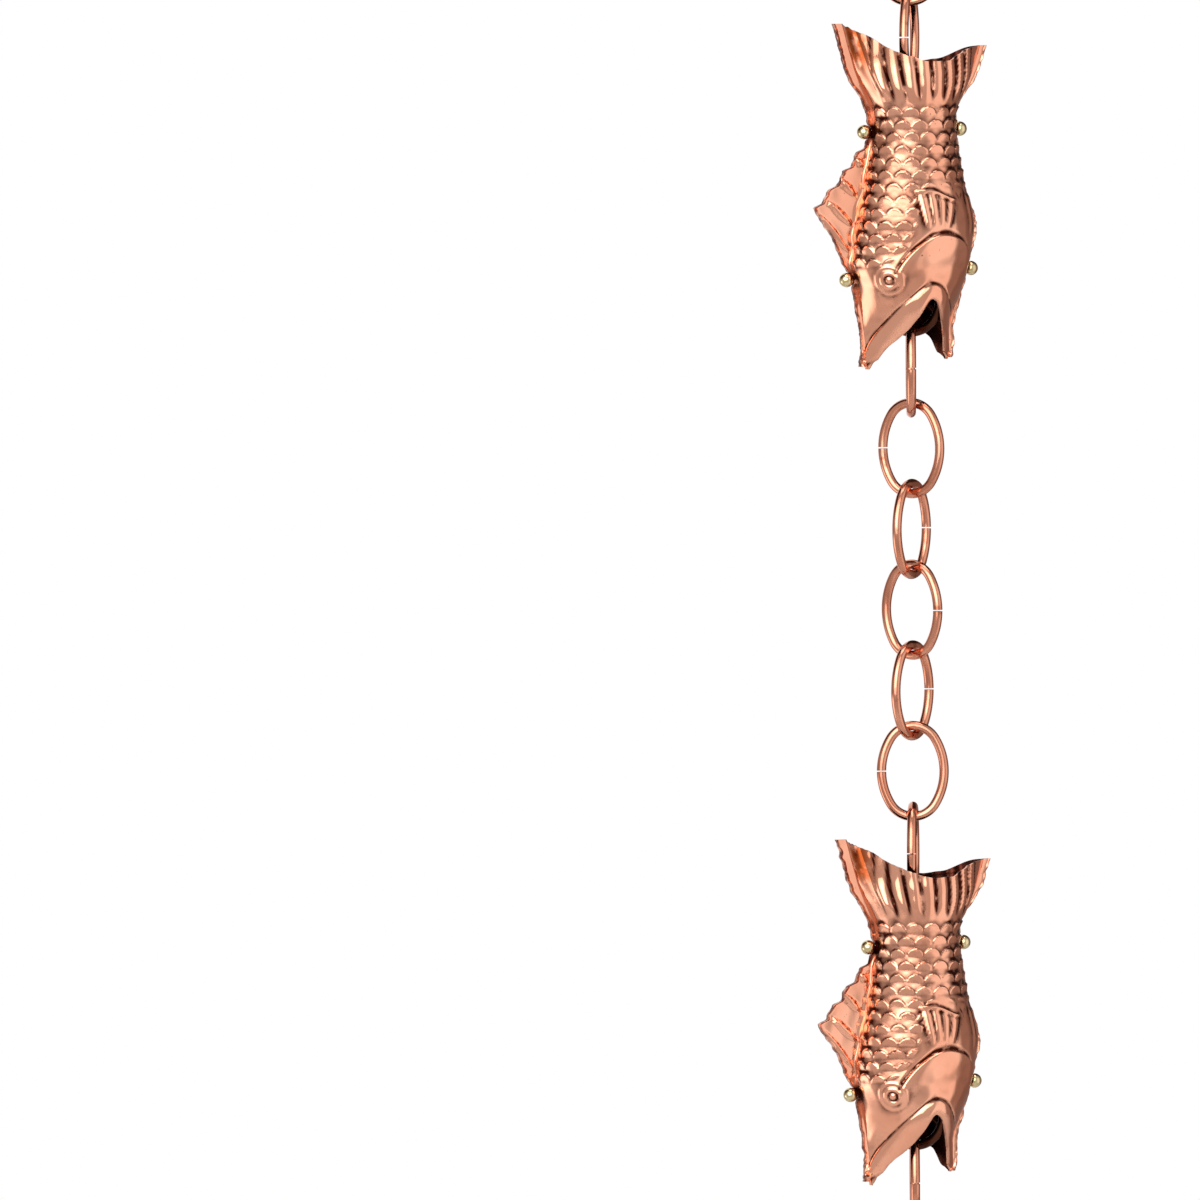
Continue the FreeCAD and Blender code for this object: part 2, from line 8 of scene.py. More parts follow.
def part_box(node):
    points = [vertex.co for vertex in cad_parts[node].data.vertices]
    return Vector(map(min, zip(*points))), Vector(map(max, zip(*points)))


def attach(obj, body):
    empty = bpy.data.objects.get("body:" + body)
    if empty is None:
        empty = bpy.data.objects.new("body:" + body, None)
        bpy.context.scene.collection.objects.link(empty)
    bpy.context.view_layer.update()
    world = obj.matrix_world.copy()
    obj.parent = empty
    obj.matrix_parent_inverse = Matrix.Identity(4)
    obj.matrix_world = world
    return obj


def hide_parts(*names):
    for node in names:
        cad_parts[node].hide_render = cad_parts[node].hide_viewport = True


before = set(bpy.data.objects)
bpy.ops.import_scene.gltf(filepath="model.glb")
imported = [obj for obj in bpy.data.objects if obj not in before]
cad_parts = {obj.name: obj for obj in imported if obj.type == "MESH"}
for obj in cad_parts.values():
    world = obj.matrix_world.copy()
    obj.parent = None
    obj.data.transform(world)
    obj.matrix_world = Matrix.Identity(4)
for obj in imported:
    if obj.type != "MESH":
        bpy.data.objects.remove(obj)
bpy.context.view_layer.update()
MM = 0.001

# Shape of a stamped fish half. Lengths are in millimetres, and every point of a flank has a drop below the
# tail's tip and a share around the section, 0 on the back seam and 1 on the belly seam.
# SEAM is half the gap between the two halves, TAIL_RISE how far the tail's tip stands over its solid's,
# and FLANK_SPAN the length round a flank over which its random waves run.
SHEET = 0.8
SEAM = 0.05
TAIL_RISE = 1.65
FLANK_SPAN = 85.0
DROPS = [0, 25, 50, 80, 108, 125, 143, 163.3, 181.3]
BACKS = [38.9, 31.6, 21.5, 26.3, 32.7, 34.3, 30.3, 27, 25]
BELLIES = [43.4, 36.2, 24.2, 28, 34, 31.6, 27, 21.3, 19.5]
DEPTHS = [22.2, 22.8, 22, 24, 27, 27, 25.5, 18, 8]
TIP, MOUTH, NOTCH, BELLY_TIP = 181.3, 144.8, 19.9, 12.3
GIRTH_DROP, SCALE_FIRST = 108.0, 43.8

# Lens-shaped sections at the tail and the jaws: where each begins, over what run, and how sharp it gets.
TAIL_LENS_DROP, TAIL_LENS_RUN, TAIL_LENS = 40, 22, 0.8
JAW_LENS_DROP, JAW_LENS_RUN = 133.0, 28

# Cross pins, with each one's dip to the back in degrees, and the nuts on their ends.
UPPER_PIN, LOWER_PIN, PIN_R, PIN_CLEARANCE = 56.65, 132.15, 1.6, 0.2
PIN_TILT = {UPPER_PIN: 1.1, LOWER_PIN: 4.1}
PIN_ROOM = PIN_R + PIN_CLEARANCE
NUT_GAP, NUT_GROWTH = 0.1, 7.6 / 7.0

# Edges of the tail and the mouth, and the line where the lip begins, by share.
TAIL_SHARES = [0.0, 0.2, 0.3, 0.4, 0.5, 0.6, 0.68, 0.77, 1.0]
TAIL_EDGE = [NOTCH * f for f in (0, 0.27, 0.6, 0.85, 1, 0.99)] + [BELLY_TIP * f for f in (1.3, 1.07, 1)]
MOUTH_SHARES = [0.0, 0.2, 0.284, 0.402, 0.471, 0.535, 0.65, 0.755, 0.835, 1.0]
MOUTH_RISE = [0.97, 0.88, 0.71, 0.48, 0.26, 0.0, 0.266, 0.537, 0.8, 0.87]
LIP_SHARES = [0.0, 0.082, 0.246, 0.385, 0.496, 0.535, 0.585, 0.685, 0.84, 0.94, 1.0]
LIP_RISE = [1.01, 0.9, 0.6, 0.25, 0.03, 0.0, 0.03, 0.25, 0.56, 0.89, 0.95]
LIP_WIDTH = 8.4
FAR_TAIL_DIP, FAR_TAIL_SHARE = 4.2, 0.72
FAR_JAW_DROP, FAR_JAW_SHARE = 6.0, 0.64
FAR_DIP_WIDTH = 0.09


def smooth(xs, ys, x):
    """A smooth curve through stations that does not overshoot between them."""
    xs = np.asarray(xs, float)
    ys = np.asarray(ys, float)
    x = np.asarray(x, float)
    slopes = np.diff(ys) / np.diff(xs)
    lean = np.zeros(len(xs))
    lean[0], lean[-1] = slopes[0], slopes[-1]
    for k in range(1, len(xs) - 1):
        before, after = slopes[k - 1], slopes[k]
        if before * after > 0:
            lean[k] = 2 * before * after / (before + after)
    k = np.clip(np.searchsorted(xs, x, side="right") - 1, 0, len(xs) - 2)
    step = xs[k + 1] - xs[k]
    t = (x - xs[k]) / step
    return (
        ys[k] * (1 + 2 * t) * (1 - t) ** 2
        + step * lean[k] * t * (1 - t) ** 2
        + ys[k + 1] * t * t * (3 - 2 * t)
        + step * lean[k + 1] * t * t * (t - 1)
    )


def ramp(x):
    """A soft step, 0 up to 0 and 1 from 1 on."""
    x = np.clip(x, 0.0, 1.0)
    return x * x * (3 - 2 * x)


def window(x, low, high, low_fade, high_fade):
    """1 between two limits, with a soft step just inside each."""
    return ramp((x - low) / low_fade) * ramp((high - x) / high_fade)


def hump(x, width):
    """A soft bump of height 1 at 0."""
    return np.exp(-((x / width) ** 2))


def waves(u, v, length, seed, count=7):
    """A smooth random field of crossing waves."""
    rng = np.random.default_rng(seed)
    total = np.zeros(np.broadcast(u, v).shape)
    for _ in range(count):
        way, phase = rng.uniform(0, 2 * math.pi, 2)
        pace = 2 * math.pi / (length * rng.uniform(0.7, 1.4))
        total += np.sin(pace * (u * math.cos(way) + v * math.sin(way)) + phase)
    return total / math.sqrt(count)


def back_at(drop):
    return smooth(DROPS, BACKS, drop)


def belly_at(drop):
    return smooth(DROPS, BELLIES, drop)


def depth_at(drop):
    return smooth(DROPS, DEPTHS, drop)


def tail_edge(share):
    return smooth(TAIL_SHARES, TAIL_EDGE, share)


def mouth_edge(share):
    return MOUTH + (TIP - MOUTH) * smooth(MOUTH_SHARES, MOUTH_RISE, share)


def lip_line(share):
    return MOUTH - LIP_WIDTH + (TIP - MOUTH) * smooth(LIP_SHARES, LIP_RISE, share)


def fullness_at(drop):
    """How sharply the section narrows to its seams: 1 is an ellipse, more is a lens."""
    tail = TAIL_LENS * ramp((TAIL_LENS_DROP - drop) / TAIL_LENS_RUN)
    return 1 + tail + ramp((drop - JAW_LENS_DROP) / JAW_LENS_RUN)


def girth_at(drop):
    """Length of the half section from seam to seam, as of an ellipse."""
    a = (back_at(drop) + belly_at(drop)) / 2
    b = depth_at(drop)
    return math.pi / 2 * (3 * (a + b) - np.sqrt((3 * a + b) * (a + 3 * b)))


# Embossing. Each function gives a height over the plain flank.
FLUTE_BASE = SCALE_FIRST - 1.5
FLUTE_PITCH, FLUTE_SPREAD = 0.061, 0.029
FLUTE_MIDDLE, FLUTE_DRIFT = 0.478, 0.052
FLUTE_HEIGHT, FLUTE_FADE, FLUTES_EACH_WAY = 1.5, 9.0, 4.3
BEAD_HEIGHT, BEAD_PITCH = 0.09, 2.1
SWELL_HEIGHT, SWELL_SHARE, SWELL_DRIFT, SWELL_WIDTH = 1.8, 0.17, 0.05, 0.045


def flutes(drop, share):
    """Radiating flutes of the tail fan, with beaded crests by the belly and a broad swell by the back."""
    along = np.clip(drop / FLUTE_BASE, 0.0, 1.0)
    pitch = FLUTE_PITCH + FLUTE_SPREAD * along
    place = (share - FLUTE_MIDDLE - FLUTE_DRIFT * along) / pitch
    wave = np.abs(np.sin(math.pi * place)) ** 0.8
    inside = ramp((FLUTES_EACH_WAY - np.abs(place)) / 0.5)
    fade = ramp((FLUTE_BASE - drop) / FLUTE_FADE)
    beads = BEAD_HEIGHT * np.sin(2 * math.pi * drop / BEAD_PITCH + 3 * np.floor(place))
    beads = beads * ramp(wave * 2 - 1.2) * ramp((place - 0.3) / 0.6)
    swell = SWELL_HEIGHT * hump(share - SWELL_SHARE - SWELL_DRIFT * along, SWELL_WIDTH) * fade
    return (FLUTE_HEIGHT * (wave - 0.5) + beads) * inside * fade + swell


LIP_HEIGHT, LIP_ROLL, LIP_CREASE, LIP_CREASE_WIDTH = 1.5, 0.86, 0.35, 0.9


def lips(drop, share):
    """A rolled lip round the mouth, with a crease over it."""
    low, edge = lip_line(share), mouth_edge(share)
    span = np.maximum(edge - low, 0.1)
    part = np.clip((drop - low) / span, 0, 1)
    roll = LIP_HEIGHT * np.abs(np.sin(math.pi * part * LIP_ROLL)) ** 0.6
    band = np.where(edge > low, roll, 0.0) * (drop > low)
    return band - LIP_CREASE * hump(drop - low, LIP_CREASE_WIDTH) * (edge > low)


GILL_DROP, GILL_SHARE = 110.2, 0.575
GILL_BEND_TO_BACK, GILL_BEND_TO_BELLY = 330.0, 200.0
GILL_BACK_END, GILL_BELLY_END, GILL_END_FADE = 0.31, 0.84, 0.05
GILL_HEIGHT, GILL_EDGE, GILL_GROOVE, GILL_FADE = 1.2, 1.4, 3, 14


def gill(drop, share):
    """The gill cover's edge, which stands over the flank and sinks back into the head."""
    bend = np.where(share < GILL_SHARE, GILL_BEND_TO_BACK, GILL_BEND_TO_BELLY)
    past = drop - (GILL_DROP + bend * (share - GILL_SHARE) ** 2)
    inside = window(share, GILL_BACK_END, GILL_BELLY_END, GILL_END_FADE, GILL_END_FADE)
    groove = -0.5 * ramp((past + GILL_GROOVE) / GILL_GROOVE)
    cover = (ramp(past / GILL_EDGE) * 1.6 - 0.5) * (1 - 0.85 * ramp((past - 2) / GILL_FADE))
    height = np.where(past < -GILL_GROOVE, 0.0, np.where(past < 0, groove, cover))
    return GILL_HEIGHT * inside * height


EYE_DROP, EYE_SHARE, EYE_RADIUS, EYE_HEIGHT = 134.7, 0.284, 8.0, 0.95


def eye(drop, share):
    """An eye of raised rings round a pupil."""
    across = (share - EYE_SHARE) * girth_at(np.array(EYE_DROP))
    r = np.hypot(drop - EYE_DROP, across) / EYE_RADIUS
    disc = 0.6 * ramp((1.06 - r) / 0.16)
    ring = 0.55 * hump(r - 0.48, 0.1) - 0.2 * hump(r - 0.72, 0.12)
    pupil = 0.75 * hump(r, 0.16) - 0.25 * hump(r - 0.28, 0.08)
    return EYE_HEIGHT * (disc + ring + pupil) * (r < 1.3)


BREAST_DROP, BREAST_LENGTH, BREAST_TILT = 87.0, 21.5, 5.0
BREAST_SHARE, BREAST_HALF, BREAST_TAPER, BREAST_HEIGHT = 0.542, 0.132, 0.068, 1.15


def breast_fin(drop, share):
    """The breast fin folded on the flank, with pleats under a brow."""
    tilt = BREAST_TILT * ramp((share - 0.5) / 0.18)
    along = (drop - BREAST_DROP - tilt) / (BREAST_LENGTH - tilt)
    half = BREAST_HALF - BREAST_TAPER * np.clip(along, 0.0, 1.0)
    part = (share - BREAST_SHARE) / half
    inside = ramp((1.06 - np.abs(part)) / 0.14) * window(along, -0.02, 1.02, 0.06, 0.25)
    pleat = np.abs(np.sin(math.pi * 2.0 * part)) ** 0.8
    pleat = 0.8 * pleat * (1 - 0.3 * along) * ramp((along - 0.06) / 0.1)
    brow = 0.7 * hump(along - 0.05, 0.05) - 0.35 * hump(along - 0.15, 0.05)
    return BREAST_HEIGHT * inside * (0.25 + pleat + brow)


BELLY_FIN_DROP, BELLY_FIN_LENGTH, BELLY_FIN_PLEAT, BELLY_FIN_HEIGHT = 88.0, 28.0, 0.062, 0.9
BELLY_FIN_START, BELLY_FIN_END, BELLY_FIN_CREST = 0.76, 0.985, 0.8


def belly_fin(drop, share):
    """A low pleated fin beside the belly seam."""
    along = (drop - BELLY_FIN_DROP) / BELLY_FIN_LENGTH
    inside = window(share, BELLY_FIN_START, BELLY_FIN_END, 0.05, 0.04) * window(along, 0, 1, 0.15, 0.4)
    pleats = 0.55 + 0.45 * np.cos(2 * math.pi * (share - BELLY_FIN_CREST) / BELLY_FIN_PLEAT)
    return BELLY_FIN_HEIGHT * inside * pleats


SCALE_ROWS, SCALE_PITCH, SCALE_WIDTH, SCALE_RADIUS, SCALE_LENGTH = 14, 6.6, 9.3, 4.35, 5.2
SCALE_STRAY, SCALE_EDGE, SCALE_END_FADE = 0.7, 0.8, 4.0
SEAM_FADE = 0.03
SCALE_END_SHARES = [0.0, 0.12, 0.234, 0.357, 0.413, 0.461, 0.6, 1.0]
SCALE_END_DROPS = [131.0, 130.1, 128.2, 120.4, 108.5, 87.3, 85.0, 87.3]
# Paces by row and by column, and the spread, of the sines that give each scale its own chance.
SIZE_CHANCE = (12.9, 78.2, 43.7)
SHADE_CHANCE = (31.7, 47.3, 19.3)
SHADE_START, SHADE_START_FADE, SHADE_END, SHADE_END_FADE = 42, 3, 100, 12


def scale_row(across, row, paces):
    """How far aside of its scale's middle each point is, and that scale's own chance from 0 to 1."""
    offset = across / SCALE_WIDTH + 0.5 * (row % 2)
    column = np.floor(offset + 0.5)
    row_pace, column_pace, spread = paces
    chance = np.sin(row_pace * row + column_pace * column) * spread
    return (offset - column) * SCALE_WIDTH, chance - np.floor(chance)


def past_free_edge(below, aside):
    """How far below its scale's round free edge each point is."""
    return below - SCALE_RADIUS + np.sqrt(np.maximum(0.0, SCALE_RADIUS**2 - aside**2))


def scales(drop, share):
    """Half-round scales, each a small tilted pad whose free edge points to the tail."""
    across = (share - 0.5) * girth_at(drop)
    height = np.zeros_like(drop)
    for row in range(SCALE_ROWS):
        aside, chance = scale_row(across, row, SIZE_CHANCE)
        below = drop - (SCALE_FIRST + row * SCALE_PITCH) - SCALE_STRAY * (chance - 0.5)
        past = past_free_edge(below, aside)
        inside = ramp(past / SCALE_EDGE) * (np.abs(aside) < SCALE_RADIUS)
        rim = 0.2 * hump(past - 0.7, 0.6) * ramp((SCALE_LENGTH - below) / 2)
        pad = np.clip(1 - below / SCALE_LENGTH, 0, 1) + rim
        height = np.maximum(height, inside * pad * (0.85 + 0.3 * chance))
    end = smooth(SCALE_END_SHARES, SCALE_END_DROPS, share)
    reach = ramp((end + 1.0 - drop) / SCALE_END_FADE)
    return height * window(share, 0.02, 0.98, SEAM_FADE, SEAM_FADE) * reach


def scale_shade(drop, share):
    """Painted shade in the corners where the free edges of two scales meet, stronger towards both seams."""
    across = (share - 0.5) * girth_at(drop)
    shade = np.zeros_like(drop)
    for row in range(SCALE_ROWS):
        aside, chance = scale_row(across, row, SHADE_CHANCE)
        past = past_free_edge(drop - (SCALE_FIRST + row * SCALE_PITCH), aside)
        corner = hump(past + 0.7, 0.9) * ramp((np.abs(aside) / SCALE_RADIUS - 0.3) / 0.4)
        shade = np.maximum(shade, corner * (0.25 + 0.75 * chance))
    sides = 0.25 + ramp((share - 0.58) / 0.12) + ramp((0.2 - share) / 0.1)
    lower_end = ramp((SHADE_END - drop) / SHADE_END_FADE + ramp((0.4 - share) / 0.1) * 2.5)
    return shade * sides * lower_end * ramp((drop - SHADE_START) / SHADE_START_FADE)


DENT, DENT_LENGTH, DENT_SEED = 0.1, 26.0, 11
FINE_DENT, FINE_DENT_LENGTH, FINE_DENT_SEED = 0.035, 9.0, 12


def relief(drop, share):
    """Height of all the embossing, with small dents, over the plain half shell."""
    fin, cover = breast_fin(drop, share), gill(drop, share)
    skin = scales(drop, share) * ramp((0.1 - fin) / 0.1) * ramp((0.06 - np.abs(cover)) / 0.06)
    flank = fin + cover + skin + eye(drop, share) + belly_fin(drop, share)
    head = ramp((lip_line(share) + 0.4 - drop) / 0.8)
    across = share * FLANK_SPAN
    dents = DENT * waves(across, drop, DENT_LENGTH, DENT_SEED)
    dents = dents + FINE_DENT * waves(across, drop, FINE_DENT_LENGTH, FINE_DENT_SEED)
    fade = window(share, 0, 1, SEAM_FADE, SEAM_FADE)
    return (flutes(drop, share) + lips(drop, share) + flank * head + dents) * fade


# Flat flanges outside both seams. The back's one widens to a fin.
BACK_FLANGE, BELLY_FLANGE, LEAST_FLANGE = 2.4, 1.9, 0.7
BACK_AT_TAIL, BACK_AT_NECK, BACK_AT_JAW = 2.6, 1.0, 1.8
BELLY_AT_TAIL, BELLY_AT_KEEL = 1.6, 1.8
TAIL_FLANGE_DROP, TAIL_FLANGE_RUN, NECK_RUN = 46, 22, 6.6
KEEL_RUN, JAW_RUN, CHIN_RUN = 11, 11, 8.8
PIN_NOTCH, PIN_NOTCH_FADE = 1.75, 3.25
FIN_START, FIN_TIP, FIN_END, FIN_REACH = 65.5, 96.8, 129.0, 24.6
SPINES, SPINE_PITCH, SPINE_RUN = 4, 9.6, 2.6
# Each ray's tip and foot, as reach past the back and run along the fin.
RAYS = [
    (0.267, 0.092, 0.06, 0.148),
    (0.544, 0.252, 0.137, 0.389),
    (0.685, 0.444, 0.076, 0.634),
    (0.851, 0.543, 0.108, 0.839),
]
RAY_HEIGHT, RAY_END_HALF, RAY_SWELL = 1.4, 0.5, 1.3


def pin_at(pin, x):
    """Drop of a cross pin's line at X: the pins dip a little to the back."""
    return pin - x * math.tan(math.radians(PIN_TILT[pin]))


def pin_dip(drop, side):
    """1 away from the cross pins, 0 at them, where the flange is notched."""
    crease = belly_at if side > 0 else back_at
    exits = [pin_at(pin, side * crease(pin)) for pin in PIN_TILT]
    near = np.minimum(np.abs(drop - exits[0]), np.abs(drop - exits[1]))
    return ramp((near - PIN_NOTCH) / PIN_NOTCH_FADE)


def fin_width(drop):
    """Reach of the back flange's fin past the crease, with its stepped spines."""
    reach = FIN_REACH - BACK_FLANGE
    steps = sum(ramp((drop - FIN_START - k * SPINE_PITCH) / SPINE_RUN) for k in range(SPINES)) / SPINES
    rise = reach * (0.34 * (drop - FIN_START) / (FIN_TIP - FIN_START) + 0.66 * steps)
    part = np.clip((FIN_END - drop) / (FIN_END - FIN_TIP), 0, 1)
    fall = reach * (part - 0.12 * np.sin(math.pi * part) ** 2)
    rising = (drop > FIN_START) & (drop <= FIN_TIP)
    falling = (drop > FIN_TIP) & (drop < FIN_END)
    return np.where(rising, rise, np.where(falling, fall, 0.0))


def back_flange(drop):
    """Width of the back's flange with its fin, wider at the tail, the neck and the jaw."""
    tail = ramp((TAIL_FLANGE_DROP - drop) / TAIL_FLANGE_RUN)
    neck = hump(drop - SCALE_FIRST, NECK_RUN)
    jaw = ramp((drop - TIP) / JAW_RUN + 1)
    wide = BACK_FLANGE + BACK_AT_TAIL * tail + BACK_AT_NECK * neck + BACK_AT_JAW * jaw + fin_width(drop)
    return LEAST_FLANGE + (wide - LEAST_FLANGE) * pin_dip(drop, -1)


def belly_flange(drop):
    """Width of the belly's flange, wider at the tail, the keel and the chin."""
    tail = ramp((TAIL_FLANGE_DROP - drop) / TAIL_FLANGE_RUN)
    swell = hump(drop - GIRTH_DROP, KEEL_RUN) + hump(drop - TIP + JAW_RUN, CHIN_RUN)
    wide = BELLY_FLANGE + BELLY_AT_TAIL * tail + BELLY_AT_KEEL * swell
    return LEAST_FLANGE + (wide - LEAST_FLANGE) * pin_dip(drop, 1)


def ray_end(reach, run):
    """Distance from the chain's line, and drop, of one end of a ray."""
    drop = FIN_START + run * (FIN_END - FIN_START)
    return float(back_at(drop)) + reach * FIN_REACH, drop


def ray_lift(out, drop):
    """Lens-shaped rays pressed into the back fin."""
    lift = np.zeros_like(out)
    for tip_reach, tip_run, foot_reach, foot_run in RAYS:
        out1, drop1 = ray_end(tip_reach, tip_run)
        out2, drop2 = ray_end(foot_reach, foot_run)
        dx, dz = out2 - out1, drop2 - drop1
        length = math.hypot(dx, dz)
        along = ((out - out1) * dx + (drop - drop1) * dz) / length
        aside = ((out - out1) * dz - (drop - drop1) * dx) / length
        part = along / length
        half = RAY_END_HALF + RAY_SWELL * np.sin(math.pi * np.clip(part, 0, 1))
        lens = ramp((1.3 - np.abs(aside) / half) / 0.9)
        lift = np.maximum(lift, lens * window(part, -0.1, 1.1, 0.2, 0.2))
    return RAY_HEIGHT * lift


# Grids of a half: rows from tail to mouth, columns round the flank and out over each flange.
ROWS, ROUND, FIN_COLS, KEEL_COLS = 290, 126, 27, 10
FOLD_START, FOLD_END, FOLD_HEIGHT, FOLD_WIDTH = 59, 131, 0.3, 0.4
WOBBLE, WOBBLE_LENGTH, WOBBLE_WIDTH = 0.45, 15.0, 3.0
RAG, RAG_LENGTH, FINE_RAG, FINE_RAG_LENGTH = 0.25, 5.0, 0.12, 2.2
JAG, JAG_LENGTH, FINE_JAG, FINE_JAG_LENGTH = 0.34, 7.5, 0.16, 2.8
BACK_JAW_BLUNT, BELLY_JAW_BLUNT, JAW_LUMP_LENGTH = 3.2, 1.2, 4.0
HEM_WIDTH, HEM_HEIGHT, HEM_LUMP, HEM_LUMP_LENGTH = 0.9, 0.5, 0.22, 4.0
CURL_HEIGHT, CURL_LENGTH, WARP_HEIGHT, WARP_LENGTH = 2.4, 6.0, 0.12, 14.0
# Painted shade: the blur that finds the flank's hollows and how deep a hollow must be to be fully shaded.
# Then the heat stain's reach, and the strength and width of the painted shade round the cross pins.
BLUR, HOLLOW_DEPTH = 9, 0.3
STAIN_DROP, STAIN_FADE = 30, 14
PIN_SHADE, PIN_SHADE_WIDTH = 1.8, 4.2


def tail_cut(share, seed, far):
    """Drop of the ragged tail edge. The far half's is cut lower towards the belly."""
    across = share * FLANK_SPAN
    ragged = waves(across, 0, RAG_LENGTH, seed) * RAG
    ragged = ragged + waves(across, 0, FINE_RAG_LENGTH, seed + 1) * FINE_RAG
    edge = tail_edge(share) + ragged * ramp((0.5 - share) * 4 + 0.6)
    if far:
        edge = edge + FAR_TAIL_DIP * hump(share - FAR_TAIL_SHARE, FAR_DIP_WIDTH)
    return edge


def mouth_cut(share, seed, far):
    """Drop of the mouth's edge with its blunt, lumpy jaw tips. The far half's lower jaw is cut lower."""
    blunt = BACK_JAW_BLUNT * hump(share - 0.08, 0.06) + BELLY_JAW_BLUNT * hump(share - 0.94, 0.05)
    lumpy = 0.12 + 0.5 * hump(share - 0.04, 0.06) + 0.4 * hump(share - 0.97, 0.05)
    lumps = lumpy * waves(share * FLANK_SPAN, 0, JAW_LUMP_LENGTH, seed + 2)
    edge = mouth_edge(share) + blunt + lumps
    if far:
        edge = edge + FAR_JAW_DROP * hump(share - FAR_JAW_SHARE, FAR_DIP_WIDTH)
    return edge


def skins(drop, share, lift):
    """X and depth of the outer and the inner skin between the seams."""
    half_width = (back_at(drop) + belly_at(drop)) / 2
    middle = (belly_at(drop) - back_at(drop)) / 2
    depth = depth_at(drop) - SHEET
    cos, sin = np.cos(math.pi * share), np.sin(math.pi * share)
    norm = np.hypot(cos * depth, sin * half_width)
    aside = lift * cos * depth / norm
    outwards = lift * sin * half_width / norm
    bulge = depth * np.maximum(sin, 0) ** fullness_at(drop)
    outer = middle - half_width * cos - aside, SHEET + bulge + outwards
    inner = middle - (half_width - SHEET) * cos - aside, np.maximum(bulge + outwards, 0)
    return (*outer, *inner)


def flange(side, edge, seed, wobble, along_fin):
    """X, depth and drop of the flange on one side, crease first, and how near its hem each point is."""
    crease, width_at, cols = back_at, back_flange, FIN_COLS
    if side > 0:
        crease, width_at, cols = belly_at, belly_flange, KEEL_COLS
    line = edge[:, 0]
    jag = JAG * waves(line, 0, JAG_LENGTH, seed + 3 + side)
    jag = jag + FINE_JAG * waves(line, 0, FINE_JAG_LENGTH, seed + 5 + side)
    wide = width_at(edge) + jag[:, None] * pin_dip(edge, side)
    part = 1 - (1 - np.linspace(0, 1, cols)) ** 1.35
    out = crease(edge) + wide * part
    drop = edge + 0 * out
    rim = wide * (1 - part)
    ends = np.sin(math.pi * part) ** 0.5
    lump = HEM_HEIGHT + HEM_LUMP * waves(line, 0, HEM_LUMP_LENGTH, seed + 9 + side)[:, None]
    bead = lump * hump(rim, HEM_WIDTH) * (0.35 + 0.65 * ramp((wide - 2.5) / 2.0))
    curl = ramp((edge - TIP) / JAW_RUN + 1.15) * ramp(1.4 - part)
    curled = np.abs(waves(out, drop, CURL_LENGTH, seed + 15))
    bead = bead + CURL_HEIGHT * curl * curled * ramp(part / 0.3)
    wavy = WARP_HEIGHT * waves(out, drop, WARP_LENGTH, seed + 13) * ramp((wide - 4) / 6) * ends
    x = side * out
    y = SHEET + bead + wavy
    if side < 0:
        fold = FOLD_HEIGHT * hump(wide * part, FOLD_WIDTH) * along_fin
        y = y + ray_lift(out, drop) * ends + fold
        x = x + wobble * hump(wide * part, WOBBLE_WIDTH) * along_fin * (part < 1)
    return x, y, drop, hump(rim, HEM_WIDTH) * ramp((wide - 1.0) / 1.0)


def smear(line):
    """A line of values, each averaged with its neighbours."""
    return np.convolve(np.pad(line, BLUR // 2, mode="edge"), np.ones(BLUR) / BLUR, mode="valid")


def flank_shade_and_stain(drop, share, lift):
    """Painted shade in the hollows of the flank's embossing and in the scales' corners, and heat stain under
    the tail's back tip.
    """
    low = np.apply_along_axis(smear, 1, np.apply_along_axis(smear, 0, lift))
    by_belly = 1.4 * ramp((share - 0.58) / 0.1) * ramp((98 - drop) / 10)
    by_back = 1.2 * ramp((0.16 - share) / 0.08)
    hollow = (1 + by_belly + by_back) * (low - lift) / HOLLOW_DEPTH
    hollow = np.clip(np.maximum(hollow, 1.3 * scale_shade(drop, share)), 0, 1)
    stain = window(share, 0.03, 0.26, 0.05, 0.1) * ramp((STAIN_DROP - drop) / STAIN_FADE)
    return hollow, stain


def joined(back, flank, belly):
    """One grid from the back's hem over the flank to the belly's hem."""
    return np.hstack([back[:, :0:-1], flank, belly[:, 1:]])


def round_rod(near, radius):
    """Depth of a round rod's surface at a distance from its line, 0 beside it."""
    return np.sqrt(np.maximum(0, radius**2 - near**2))


